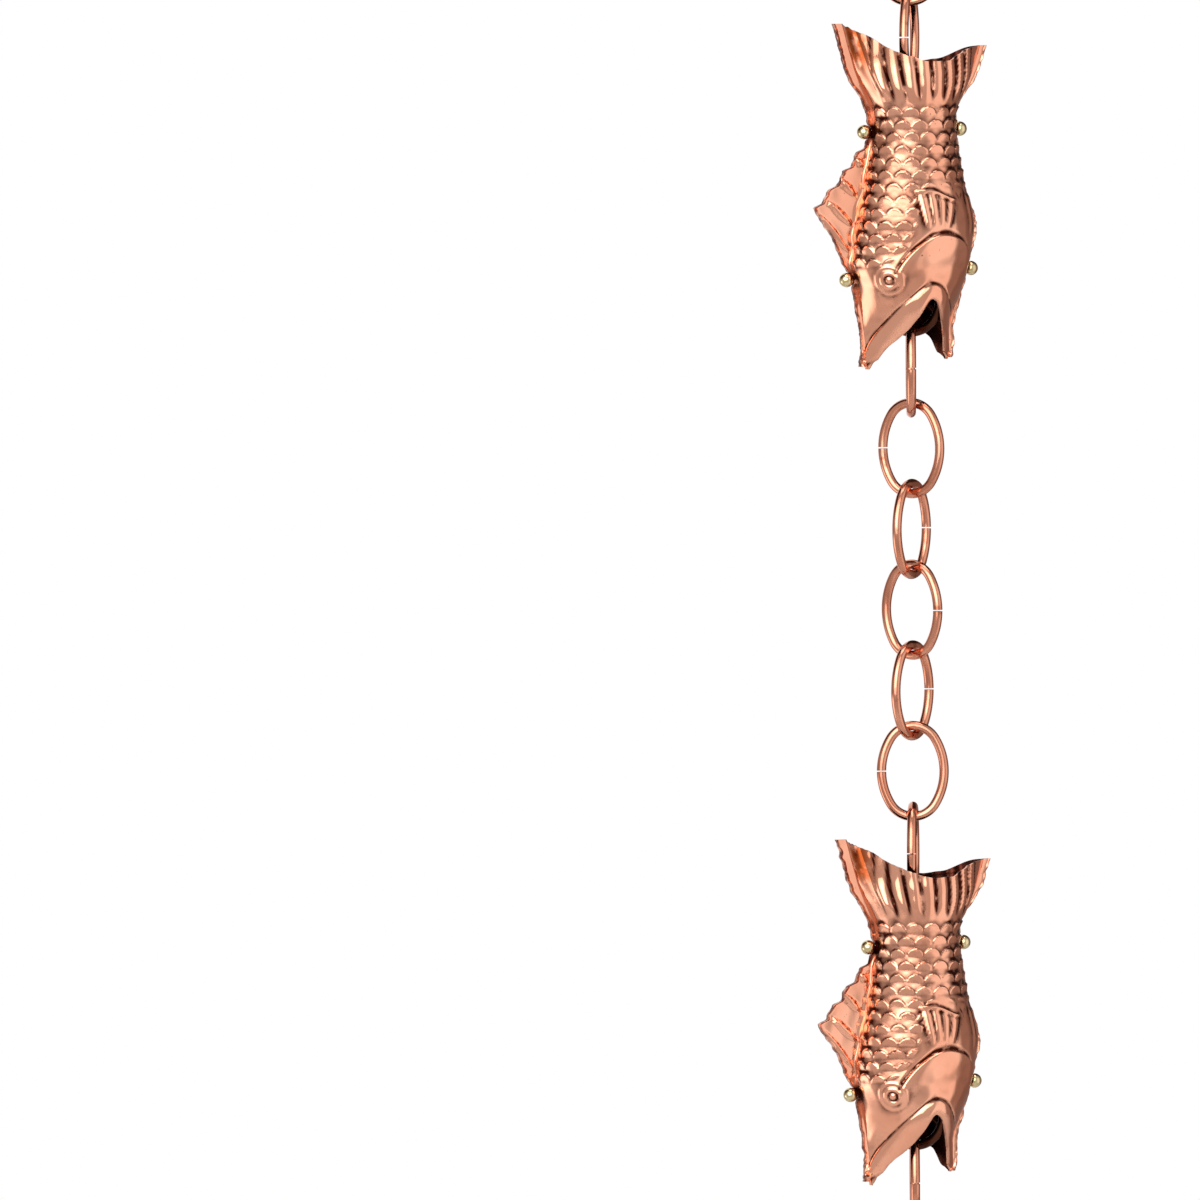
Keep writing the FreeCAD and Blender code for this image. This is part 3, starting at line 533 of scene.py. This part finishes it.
def half_shell(seed, far):
    """Outer and inner skins of a near half as grids of points, with what its finish needs at each point."""
    share = np.tile(np.linspace(0, 1, ROUND), (ROWS, 1))
    step = np.linspace(0, 1, ROWS)[:, None]
    top = tail_cut(share, seed, far)
    drop = top + (mouth_cut(share, seed, far) - top) * step
    lift = relief(drop, share)
    outer_x, outer_y, inner_x, inner_y = skins(drop, share, lift)
    seam = share * girth_at(drop)
    along_fin = window(drop, FOLD_START, FOLD_END, 8, 6)
    wobble = WOBBLE * waves(drop, 0, WOBBLE_LENGTH, seed + 20)
    outer_y = outer_y + FOLD_HEIGHT * hump(seam, FOLD_WIDTH) * along_fin
    outer_x = outer_x + wobble * hump(seam, WOBBLE_WIDTH) * along_fin

    fin_x, fin_y, fin_drop, fin_hem = flange(-1, drop[:, :1], seed, wobble[:, :1], along_fin[:, :1])
    keel_x, keel_y, keel_drop, keel_hem = flange(1, drop[:, -1:], seed, wobble[:, -1:], along_fin[:, -1:])
    flat_fin, flat_keel = np.zeros_like(fin_x), np.zeros_like(keel_x)
    x = joined(fin_x, outer_x, keel_x)
    y = joined(fin_y, outer_y, keel_y)
    z = joined(fin_drop, drop, keel_drop)
    inner_x = joined(fin_x, inner_x, keel_x)
    inner_y = joined(flat_fin, inner_y, flat_keel)
    for pin, tilt in PIN_TILT.items():
        near = (z - pin_at(pin, x)) * math.cos(math.radians(tilt))
        y = np.maximum(y, round_rod(near, PIN_ROOM + SHEET))
        inner_y = np.maximum(inner_y, round_rod(near, PIN_ROOM))

    hollow, stain = flank_shade_and_stain(drop, share, lift)
    painted_shade = joined(flat_fin, hollow, flat_keel)
    # Painted shade round the cross pins, close to the sheet.
    for pin in PIN_TILT:
        by_pin = hump(z - pin_at(pin, x), PIN_SHADE_WIDTH) * ramp((8 - y) / 4)
        painted_shade = np.maximum(painted_shade, PIN_SHADE * by_pin)
    hem = joined(fin_hem, np.zeros_like(drop), keel_hem)
    stain = joined(flat_fin, stain, flat_keel)
    outer = np.stack([x, -(y + SEAM), -z], axis=-1)
    inner = np.stack([inner_x, -(inner_y + SEAM), -z], axis=-1)
    return outer, inner, {"painted_shade": painted_shade, "hem": hem, "stain": stain}


# Meshes.
SOFT_ANGLE, SHELL_ANGLE, PIN_ANGLE = 50, 55, 40


def new_object(name, points, faces):
    """A mesh object from points in metres and faces of any number of corners."""
    mesh = bpy.data.meshes.new(name)
    mesh.from_pydata([], [], [])
    mesh.vertices.add(len(points))
    mesh.vertices.foreach_set("co", np.asarray(points, np.float32).ravel())
    counts = [len(f) for f in faces]
    loops = np.concatenate([np.asarray(f, np.int32) for f in faces])
    starts = np.concatenate([[0], np.cumsum(counts)[:-1]]).astype(np.int32)
    mesh.loops.add(len(loops))
    mesh.loops.foreach_set("vertex_index", loops)
    mesh.polygons.add(len(faces))
    mesh.polygons.foreach_set("loop_start", starts)
    mesh.update(calc_edges=True)
    mesh.validate()
    obj = bpy.data.objects.new(name, mesh)
    bpy.context.scene.collection.objects.link(obj)
    return obj


def smooth_shading(obj, angle=SOFT_ANGLE):
    obj.data.shade_smooth()
    obj.data.set_sharp_from_angle(angle=math.radians(angle))


def add_mark(mesh, name, values):
    """A number at each point of a mesh, for its material to read."""
    mesh.attributes.new(name, "FLOAT", "POINT").data.foreach_set("value", values.astype(np.float32))


def quads(rows, cols, start=0, flip=False):
    """Faces of a grid of points, whose first point has the number start."""
    base = np.arange(rows * cols).reshape(rows, cols) + start
    a, b, c, d = base[:-1, :-1], base[:-1, 1:], base[1:, 1:], base[1:, :-1]
    order = (a, b, c, d) if flip else (a, d, c, b)
    return np.stack(order, axis=-1).reshape(-1, 4)


def shell_object(name, outer, inner, marks, mirrored, fish_z):
    """A closed half shell from its two skins: copper outside and round the rim, a lining inside that is
    rough and coloured dark as painted shade.
    """
    rows, cols = outer.shape[:2]
    points = np.concatenate([outer.reshape(-1, 3), inner.reshape(-1, 3)]) * MM
    if mirrored:
        points = points * np.array([1, -1, 1])
    points = points + np.array([0, 0, fish_z])
    shift = rows * cols
    index = np.arange(shift).reshape(rows, cols)
    loop = np.concatenate([index[0, :-1], index[:-1, -1], index[-1, :0:-1], index[:0:-1, 0]])
    after = np.roll(loop, -1)
    rim = np.stack([loop, after, after + shift, loop + shift], axis=-1)
    skin, lining = quads(rows, cols), quads(rows, cols, shift, True)
    faces = np.concatenate([skin, rim, lining])
    if mirrored:
        faces = faces[:, ::-1]
    obj = new_object(name, points, list(faces))
    kinds = np.concatenate([np.zeros(len(skin) + len(rim), np.int32), np.ones(len(lining), np.int32)])
    for mark, values in marks.items():
        add_mark(obj.data, mark, np.concatenate([values.ravel(), values.ravel()]))
    obj.data.materials.append(COPPER)
    obj.data.materials.append(SHADED_LINING)
    obj.data.polygons.foreach_set("material_index", kinds)
    smooth_shading(obj, SHELL_ANGLE)
    return obj


# Materials. Noise scales are per metre, bump heights in metres.
MIX_A, MIX_B, MIX_RESULT = 6, 7, 2


def srgb(r, g, b):
    """A colour written as it looks, in 0 to 255."""
    linear = []
    for value in (r, g, b):
        part = value / 255
        linear.append(part / 12.92 if value < 11 else ((part + 0.055) / 1.055) ** 2.4)
    return (*linear, 1.0)


class Metal:
    """A metal's node tree, built one texture at a time."""

    def __init__(self, name):
        self.mat = bpy.data.materials.new(name)
        self.mat.use_nodes = True
        self.nodes = self.mat.node_tree.nodes
        self.links = self.mat.node_tree.links
        self.bsdf = self.nodes["Principled BSDF"]
        self.bsdf.inputs["Metallic"].default_value = 1.0
        self.place = self.nodes.new("ShaderNodeTexCoord").outputs["Object"]

    def noise(self, scale, detail=3.0, stretch=(1, 1, 1)):
        mapping = self.nodes.new("ShaderNodeMapping")
        mapping.inputs["Scale"].default_value = stretch
        self.links.new(self.place, mapping.inputs["Vector"])
        node = self.nodes.new("ShaderNodeTexNoise")
        node.inputs["Scale"].default_value = scale
        node.inputs["Detail"].default_value = detail
        self.links.new(mapping.outputs["Vector"], node.inputs["Vector"])
        return node.outputs["Fac"]

    def mark(self, name):
        node = self.nodes.new("ShaderNodeAttribute")
        node.attribute_name = name
        return node.outputs["Fac"]

    def band(self, value, low, high, out_low=0.0, out_high=1.0):
        node = self.nodes.new("ShaderNodeMapRange")
        node.interpolation_type = "SMOOTHSTEP"
        node.inputs["From Min"].default_value = low
        node.inputs["From Max"].default_value = high
        node.inputs["To Min"].default_value = out_low
        node.inputs["To Max"].default_value = out_high
        self.links.new(value, node.inputs["Value"])
        return node.outputs["Result"]

    def math(self, kind, a, b):
        node = self.nodes.new("ShaderNodeMath")
        node.operation = kind
        for socket, value in zip(node.inputs, (a, b)):
            if isinstance(value, (int, float)):
                socket.default_value = value
            else:
                self.links.new(value, socket)
        return node.outputs["Value"]

    def mix(self, factor, a, b):
        node = self.nodes.new("ShaderNodeMix")
        node.data_type = "RGBA"
        self.links.new(factor, node.inputs[0])
        for socket, value in ((node.inputs[MIX_A], a), (node.inputs[MIX_B], b)):
            if isinstance(value, tuple):
                socket.default_value = value
            else:
                self.links.new(value, socket)
        return node.outputs[MIX_RESULT]

    def finish(self, colour, roughness, *bumps):
        self.links.new(colour, self.bsdf.inputs["Base Color"])
        self.links.new(roughness, self.bsdf.inputs["Roughness"])
        normal = None
        for height, distance in bumps:
            node = self.nodes.new("ShaderNodeBump")
            node.inputs["Strength"].default_value = 1.0
            node.inputs["Distance"].default_value = distance
            self.links.new(height, node.inputs["Height"])
            if normal:
                self.links.new(normal, node.inputs["Normal"])
            normal = node.outputs["Normal"]
        if normal:
            self.links.new(normal, self.bsdf.inputs["Normal"])
        return self.mat


COPPER_PALE, COPPER_DEEP = srgb(247, 177, 146), srgb(239, 164, 132)
# The second colour on the next line is the dark brown of the painted shade.
HEAT_STAIN, SHADE_BROWN, HEM_BROWN, SPECK = srgb(176, 82, 36), srgb(58, 17, 8), srgb(112, 54, 40), srgb(70, 32, 24)
# The lining is coloured dark as painted shade for the inside of the fish.
SHADED_LINING_PALE, SHADED_LINING_DARK = srgb(84, 42, 31), srgb(42, 21, 16)
WIRE_PALE, WIRE_DEEP, WIRE_BROWN = srgb(222, 152, 124), srgb(204, 132, 104), srgb(176, 108, 82)
# The rings inside the fish are coloured dark as painted shade.
SHADED_WIRE_PALE, SHADED_WIRE_DARK = srgb(92, 52, 36), srgb(60, 33, 24)
BRASS_PALE, BRASS_DEEP, BRASS_DULL = srgb(226, 206, 162), srgb(204, 182, 136), srgb(150, 126, 84)
RUB_BUMP, HEM_BUMP, LINING_BUMP, WIRE_BUMP, BRASS_BUMP = 0.00002, 0.00015, 0.00005, 0.000008, 0.00002


def polished_copper():
    m = Metal("polished_copper")
    cloud = m.noise(45, 4)
    colour = m.mix(m.band(cloud, 0.35, 0.7), COPPER_PALE, COPPER_DEEP)
    heat = m.math("MULTIPLY", m.mark("stain"), m.band(m.noise(120, 5), 0.32, 0.52))
    colour = m.mix(heat, colour, HEAT_STAIN)
    # Painted shade: a dark brown laid into the hollows, the scales' corners and round the pins, in patches.
    shade_mix = m.math("MULTIPLY", m.mark("painted_shade"), m.band(m.noise(160, 4), 0.26, 0.5))
    colour = m.mix(shade_mix, colour, SHADE_BROWN)
    hem = m.math("MULTIPLY", m.mark("hem"), m.band(m.noise(260, 4), 0.3, 0.6))
    colour = m.mix(hem, colour, HEM_BROWN)
    specks = m.band(m.noise(700, 2), 0.73, 0.77)
    colour = m.mix(specks, colour, SPECK)
    rough = m.band(m.noise(70, 4), 0.3, 0.75, 0.07, 0.15)
    rough = m.math("ADD", rough, m.math("MULTIPLY", m.math("MAXIMUM", shade_mix, hem), 0.25))
    rub = m.noise(420, 3, (1, 1, 0.25))
    lumps = m.math("MULTIPLY", m.noise(900, 3), m.mark("hem"))
    return m.finish(colour, rough, (rub, RUB_BUMP), (lumps, HEM_BUMP))


# The inside of a half: rough copper, coloured dark as painted shade for the shade inside the fish.
def shaded_lining():
    m = Metal("shaded_copper_lining")
    cloud = m.noise(90, 5)
    colour = m.mix(m.band(cloud, 0.35, 0.68), SHADED_LINING_PALE, SHADED_LINING_DARK)
    rough = m.band(m.noise(150, 4), 0.3, 0.7, 0.3, 0.5)
    return m.finish(colour, rough, (m.noise(500, 3), LINING_BUMP))


def drawn_wire():
    m = Metal("drawn_copper_wire")
    cloud = m.noise(60, 4)
    colour = m.mix(m.band(cloud, 0.35, 0.7), WIRE_PALE, WIRE_DEEP)
    brown = m.band(m.noise(150, 4), 0.58, 0.74)
    colour = m.mix(brown, colour, WIRE_BROWN)
    rough = m.band(m.noise(120, 3), 0.3, 0.7, 0.11, 0.19)
    return m.finish(colour, rough, (m.noise(700, 2), WIRE_BUMP))


# Wire for the rings inside the fish, rough and coloured dark as painted shade.
def shaded_wire():
    m = Metal("shaded_copper_wire")
    cloud = m.noise(60, 4)
    colour = m.mix(m.band(cloud, 0.35, 0.7), SHADED_WIRE_PALE, SHADED_WIRE_DARK)
    rough = m.band(m.noise(120, 3), 0.3, 0.7, 0.25, 0.4)
    return m.finish(colour, rough, (m.noise(700, 2), WIRE_BUMP))


def turned_brass():
    m = Metal("turned_brass")
    cloud = m.noise(220, 4)
    colour = m.mix(m.band(cloud, 0.35, 0.7), BRASS_PALE, BRASS_DEEP)
    dull = m.band(m.noise(420, 4), 0.58, 0.72)
    colour = m.mix(dull, colour, BRASS_DULL)
    rough = m.band(m.noise(300, 4), 0.3, 0.7, 0.1, 0.24)
    return m.finish(colour, rough, (m.noise(1100, 2), BRASS_BUMP))


COPPER = polished_copper()
SHADED_LINING = shaded_lining()
WIRE = drawn_wire()
SHADED_WIRE = shaded_wire()
BRASS = turned_brass()

# Two fish, each of a near and a far half, with a seed for its ragged edges.
for count, seed in ((1, 40), (2, 80)):
    for side in ("near", "far"):
        outer, inner, marks = half_shell(seed, side == "far")
        node = f"fish_{count}_{side}_half"
        tail_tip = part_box(node)[1].z + TAIL_RISE * MM
        half = shell_object(f"fish_{count}_{side}_shell", outer, inner, marks, side == "far", tail_tip)
        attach(half, f"fish_{count}")
        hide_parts(node)

# Cross pins: brass rod with a rolled thread at both ends, dipping to the back by its tilt.
THREAD_LENGTH, THREAD_PITCH, THREAD_DEPTH = 12 * MM, 0.6 * MM, 0.16
THREAD_STEPS, ROD_SIDES = 5, 20


def threaded_pin(name, node, tilt):
    low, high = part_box(node)
    lean = math.radians(tilt)
    way = Vector((math.cos(lean), 0, math.sin(lean)))
    radius = (high.y - low.y) / 2
    half = (high.x - low.x) / 2
    middle = Vector((0, 0, (low.z + high.z) / 2)) + way * (low.x + half)
    left = np.arange(-half, THREAD_LENGTH - half, THREAD_PITCH / THREAD_STEPS)
    right = np.arange(half - THREAD_LENGTH, half, THREAD_PITCH / THREAD_STEPS)
    stations = np.concatenate([left, [0.0], right, [half]])
    angle = np.linspace(0, 2 * math.pi, ROD_SIDES, endpoint=False)
    along, turn = np.meshgrid(stations, angle, indexing="ij")
    groove = np.abs(np.mod(along / THREAD_PITCH - turn / (2 * math.pi), 1) - 0.5) * 2
    inside = (np.abs(along) > half - THREAD_LENGTH + THREAD_PITCH) & (np.abs(along) < half)
    r = radius * np.where(inside, 1 - THREAD_DEPTH * groove, 1.0)
    across, up = r * np.cos(turn), r * np.sin(turn)
    x = middle.x + along * way.x - up * way.z
    z = middle.z + along * way.z + up * way.x
    points = np.stack([x, middle.y + across, z], axis=-1).reshape(-1, 3)
    rows = len(stations)
    ring = np.arange(rows * ROD_SIDES).reshape(rows, ROD_SIDES)
    after = np.roll(ring, -1, axis=1)
    sides = np.stack([ring[:-1], after[:-1], after[1:], ring[1:]], axis=-1).reshape(-1, 4)
    faces = [list(f) for f in sides] + [list(ring[0][::-1]), list(ring[-1])]
    pin = new_object(name, points, faces)
    pin.data.materials.append(BRASS)
    smooth_shading(pin, PIN_ANGLE)
    return pin


for count in (1, 2):
    for place, drop in (("upper", UPPER_PIN), ("lower", LOWER_PIN)):
        node = f"fish_{count}_{place}_pin"
        pin = threaded_pin(f"fish_{count}_{place}_threaded_pin", node, PIN_TILT[drop])
        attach(pin, f"fish_{count}")
        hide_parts(node)


# Ball nuts, set square on their tilted pins against the flange's notch.
def ball_nut(name, node, side, pin):
    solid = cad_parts[node].data
    low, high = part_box(node)
    centre = Vector((0, 0, (low.z + high.z) / 2))
    inner_face = high.x if side < 0 else low.x
    crease = belly_at if side > 0 else back_at
    seat = side * (float(crease(pin_at(pin, side * crease(pin)))) + LEAST_FLANGE + NUT_GAP) * MM
    turn = Matrix.Rotation(-math.radians(PIN_TILT[pin]), 3, "Y")
    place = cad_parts[node].matrix_world
    points = []
    for vertex in solid.vertices:
        spot = (place @ vertex.co - centre - Vector((inner_face, 0, 0))) * NUT_GROWTH
        points.append(centre + turn @ (spot + Vector((seat, 0, 0))))
    nut = new_object(name, np.array(points), [list(face.vertices) for face in solid.polygons])
    nut.data.materials.append(BRASS)
    smooth_shading(nut)
    return nut


for count in (1, 2):
    for place, pin in (("upper", UPPER_PIN), ("lower", LOWER_PIN)):
        for end, side in (("back", -1), ("belly", 1)):
            node = f"fish_{count}_{place}_{end}_nut"
            nut = ball_nut(f"fish_{count}_{place}_{end}_ball", node, side, pin)
            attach(nut, f"fish_{count}")
            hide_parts(node)

# Links and rings keep their own solids. The rings inside the fish are rough and coloured dark as painted
# shade, as the lining is.
for name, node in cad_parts.items():
    if name.startswith("fish"):
        continue
    node.data.materials.clear()
    inside_fish = name.startswith(("upper_ring", "lower_ring"))
    node.data.materials.append(SHADED_WIRE if inside_fish else WIRE)
    smooth_shading(node)

# Stage: a pale floor, a white surround, soft boxes, and a wall of light and shade that only reflections see.
# Its lengths are in metres, its angles in degrees round the chain, 0 in front.
MIDDLE = Vector((0, 0, -0.35))
WALL_FAR, WALL_SIDE, WALL_LOW, WALL_HIGH = 6.0, 160, -88, 80
WALL_ROWS, WALL_COLS = 44, 81
WALL_LIGHT, RIGHT_SHADE, PANEL_LIGHT, CARD_LIGHT = 0.6, 0.27, 0.5, 1.7
SHADE_TINT, WHITE = (1.0, 0.6, 0.45, 1), (1, 1, 1, 1)


def direction(azimuth, elevation):
    """Way out from the chain: azimuth from the front to the right, elevation upwards."""
    a, e = math.radians(azimuth), math.radians(elevation)
    return Vector((math.sin(a) * math.cos(e), -math.cos(a) * math.cos(e), math.sin(e)))


def wall_level(azimuth, elevation):
    """How bright the studio looks in each direction, away from the soft boxes."""
    panel = window(azimuth, 16, 68, 6, 5) * window(elevation, -52, 40, 8, 8)
    card = window(azimuth, -132, -92, 8, 8) * window(elevation, -44, -6, 8, 8)
    level = WALL_LIGHT - RIGHT_SHADE * ramp((azimuth - 66) / 6) + PANEL_LIGHT * panel
    behind = ramp((np.abs(azimuth) - 92) / 10)
    level = level * (1 - behind * (0.3 + 0.58 * ramp((elevation - 8) / 18)))
    level = level * (1 - 0.5 * ramp((elevation - 50) / 20))
    return level * (1 - 0.55 * ramp((-elevation - 40) / 30)) + CARD_LIGHT * card


def wall_light():
    """Light as strong as the wall's level at each point, warmer where it is dim."""
    mat = bpy.data.materials.new("studio_wall")
    mat.use_nodes = True
    nodes, links = mat.node_tree.nodes, mat.node_tree.links
    nodes.clear()
    tone = nodes.new("ShaderNodeAttribute")
    tone.attribute_name = "level"
    light = nodes.new("ShaderNodeEmission")
    warmth = nodes.new("ShaderNodeMix")
    warmth.data_type = "RGBA"
    warmth.inputs[MIX_A].default_value = SHADE_TINT
    warmth.inputs[MIX_B].default_value = WHITE
    lit = nodes.new("ShaderNodeMapRange")
    lit.inputs["From Min"].default_value = 0.1
    lit.inputs["From Max"].default_value = 0.5
    links.new(tone.outputs["Fac"], lit.inputs["Value"])
    links.new(lit.outputs[0], warmth.inputs[0])
    links.new(warmth.outputs[MIX_RESULT], light.inputs["Color"])
    links.new(tone.outputs["Fac"], light.inputs["Strength"])
    links.new(light.outputs[0], nodes.new("ShaderNodeOutputMaterial").inputs["Surface"])
    return mat


elevations = np.linspace(WALL_LOW, WALL_HIGH, WALL_ROWS)
azimuths = np.linspace(-WALL_SIDE, WALL_SIDE, WALL_COLS)
wall_e, wall_a = np.meshgrid(elevations, azimuths, indexing="ij")
wall_points = [MIDDLE + direction(a, e) * WALL_FAR for a, e in zip(wall_a.ravel(), wall_e.ravel())]
wall = new_object("studio_wall", np.array(wall_points), list(quads(WALL_ROWS, WALL_COLS)))
add_mark(wall.data, "level", wall_level(wall_a, wall_e).ravel())
wall.data.materials.append(wall_light())
wall.visible_camera = False
wall.visible_diffuse = False
wall.visible_shadow = False


def softbox(name, azimuth, elevation, far, width, height, radiance):
    """An area light that faces the chain's middle."""
    data = bpy.data.lights.new(name, "AREA")
    data.shape = "RECTANGLE"
    data.size, data.size_y = width, height
    data.energy = radiance * math.pi * width * height
    lamp = bpy.data.objects.new(name, data)
    lamp.location = MIDDLE + direction(azimuth, elevation) * far
    lamp.rotation_mode = "QUATERNION"
    lamp.rotation_quaternion = (-direction(azimuth, elevation)).to_track_quat("-Z", "Y")
    bpy.context.scene.collection.objects.link(lamp)


softbox("key_box", azimuth=-36, elevation=21, far=5.0, width=7.6, height=5.4, radiance=1.7)
softbox("key_core", azimuth=-38, elevation=21, far=4.8, width=3.4, height=3.0, radiance=1.9)
softbox("top_box", azimuth=-10, elevation=80, far=3.0, width=2.0, height=2.0, radiance=2.2)

# White surround, dimmer as a light on rough surfaces than it looks.
SURROUND_SEEN, SURROUND_LIGHT = 1.0, 0.3
world = bpy.data.worlds.new("white_surround")
bpy.context.scene.world = world
world.use_nodes = True
world_nodes, world_links = world.node_tree.nodes, world.node_tree.links
path = world_nodes.new("ShaderNodeLightPath")
seen = path.outputs["Is Camera Ray"]
for ray in ("Is Glossy Ray", "Is Transmission Ray"):
    either = world_nodes.new("ShaderNodeMath")
    either.operation = "MAXIMUM"
    world_links.new(seen, either.inputs[0])
    world_links.new(path.outputs[ray], either.inputs[1])
    seen = either.outputs[0]
level = world_nodes.new("ShaderNodeMapRange")
level.inputs["To Min"].default_value = SURROUND_LIGHT
level.inputs["To Max"].default_value = SURROUND_SEEN
world_links.new(seen, level.inputs["Value"])
world_nodes["Background"].inputs["Color"].default_value = WHITE
world_links.new(level.outputs[0], world_nodes["Background"].inputs["Strength"])

# Floor: a pale disc whose rim fades into the white surround.
FLOOR_Z, FLOOR_R, FLOOR_SIDES = -1.2, 1.7, 96
FADE_START, FADE_END = 0.7, FLOOR_R - 0.05
FLOOR_PAINT = (0.9, 0.9, 0.9, 1)


def pale_floor():
    mat = bpy.data.materials.new("pale_floor")
    mat.use_nodes = True
    nodes, links = mat.node_tree.nodes, mat.node_tree.links
    paint = nodes["Principled BSDF"]
    paint.inputs["Base Color"].default_value = FLOOR_PAINT
    paint.inputs["Roughness"].default_value = 0.8
    paint.inputs["Specular IOR Level"].default_value = 0.2
    where = nodes.new("ShaderNodeTexCoord")
    reach = nodes.new("ShaderNodeVectorMath")
    reach.operation = "LENGTH"
    plane = nodes.new("ShaderNodeVectorMath")
    plane.operation = "MULTIPLY"
    plane.inputs[1].default_value = (1, 1, 0)
    links.new(where.outputs["Object"], plane.inputs[0])
    links.new(plane.outputs[0], reach.inputs[0])
    fade = nodes.new("ShaderNodeMapRange")
    fade.interpolation_type = "SMOOTHSTEP"
    fade.inputs["From Min"].default_value = FADE_START
    fade.inputs["From Max"].default_value = FADE_END
    links.new(reach.outputs["Value"], fade.inputs["Value"])
    clear = nodes.new("ShaderNodeBsdfTransparent")
    blend = nodes.new("ShaderNodeMixShader")
    links.new(fade.outputs[0], blend.inputs[0])
    links.new(paint.outputs[0], blend.inputs[1])
    links.new(clear.outputs[0], blend.inputs[2])
    links.new(blend.outputs[0], nodes["Material Output"].inputs["Surface"])
    return mat


ring_at = np.linspace(0, 2 * math.pi, FLOOR_SIDES, endpoint=False)
rim_points = np.stack([FLOOR_R * np.cos(ring_at), FLOOR_R * np.sin(ring_at), 0 * ring_at + FLOOR_Z], axis=-1)
floor = new_object("floor", rim_points, [list(range(FLOOR_SIDES))])
floor.data.materials.append(pale_floor())

# Camera: a long lens in front and a little to the fish's back, framed as the chain hangs.
AZIMUTH, ELEVATION, DISTANCE = -22.0, 3.0, 9.0
FRAME_WIDTH, SENSOR_WIDTH = 0.6324, 36
RIGHT_OF_CENTRE, CENTRE_DROP = 0.1644, 0.3598
ROLL = -0.33
back = direction(AZIMUTH, ELEVATION)
right = Vector((math.cos(math.radians(AZIMUTH)), math.sin(math.radians(AZIMUTH)), 0))
aim = Vector((0, 0, -CENTRE_DROP)) - right * RIGHT_OF_CENTRE
camera_data = bpy.data.cameras.new("camera")
camera_data.sensor_width = SENSOR_WIDTH
camera_data.lens = SENSOR_WIDTH * DISTANCE / FRAME_WIDTH
camera_data.clip_end = 100
camera = bpy.data.objects.new("camera", camera_data)
camera.rotation_mode = "QUATERNION"
turn = (-back).to_track_quat("-Z", "Y").to_matrix() @ Matrix.Rotation(math.radians(ROLL), 3, "Z")
camera.location = aim + back * DISTANCE
camera.rotation_quaternion = turn.to_quaternion()
bpy.context.scene.collection.objects.link(camera)
bpy.context.scene.camera = camera
bpy.context.scene.view_settings.view_transform = "Standard"

bpy.context.view_layer.update()
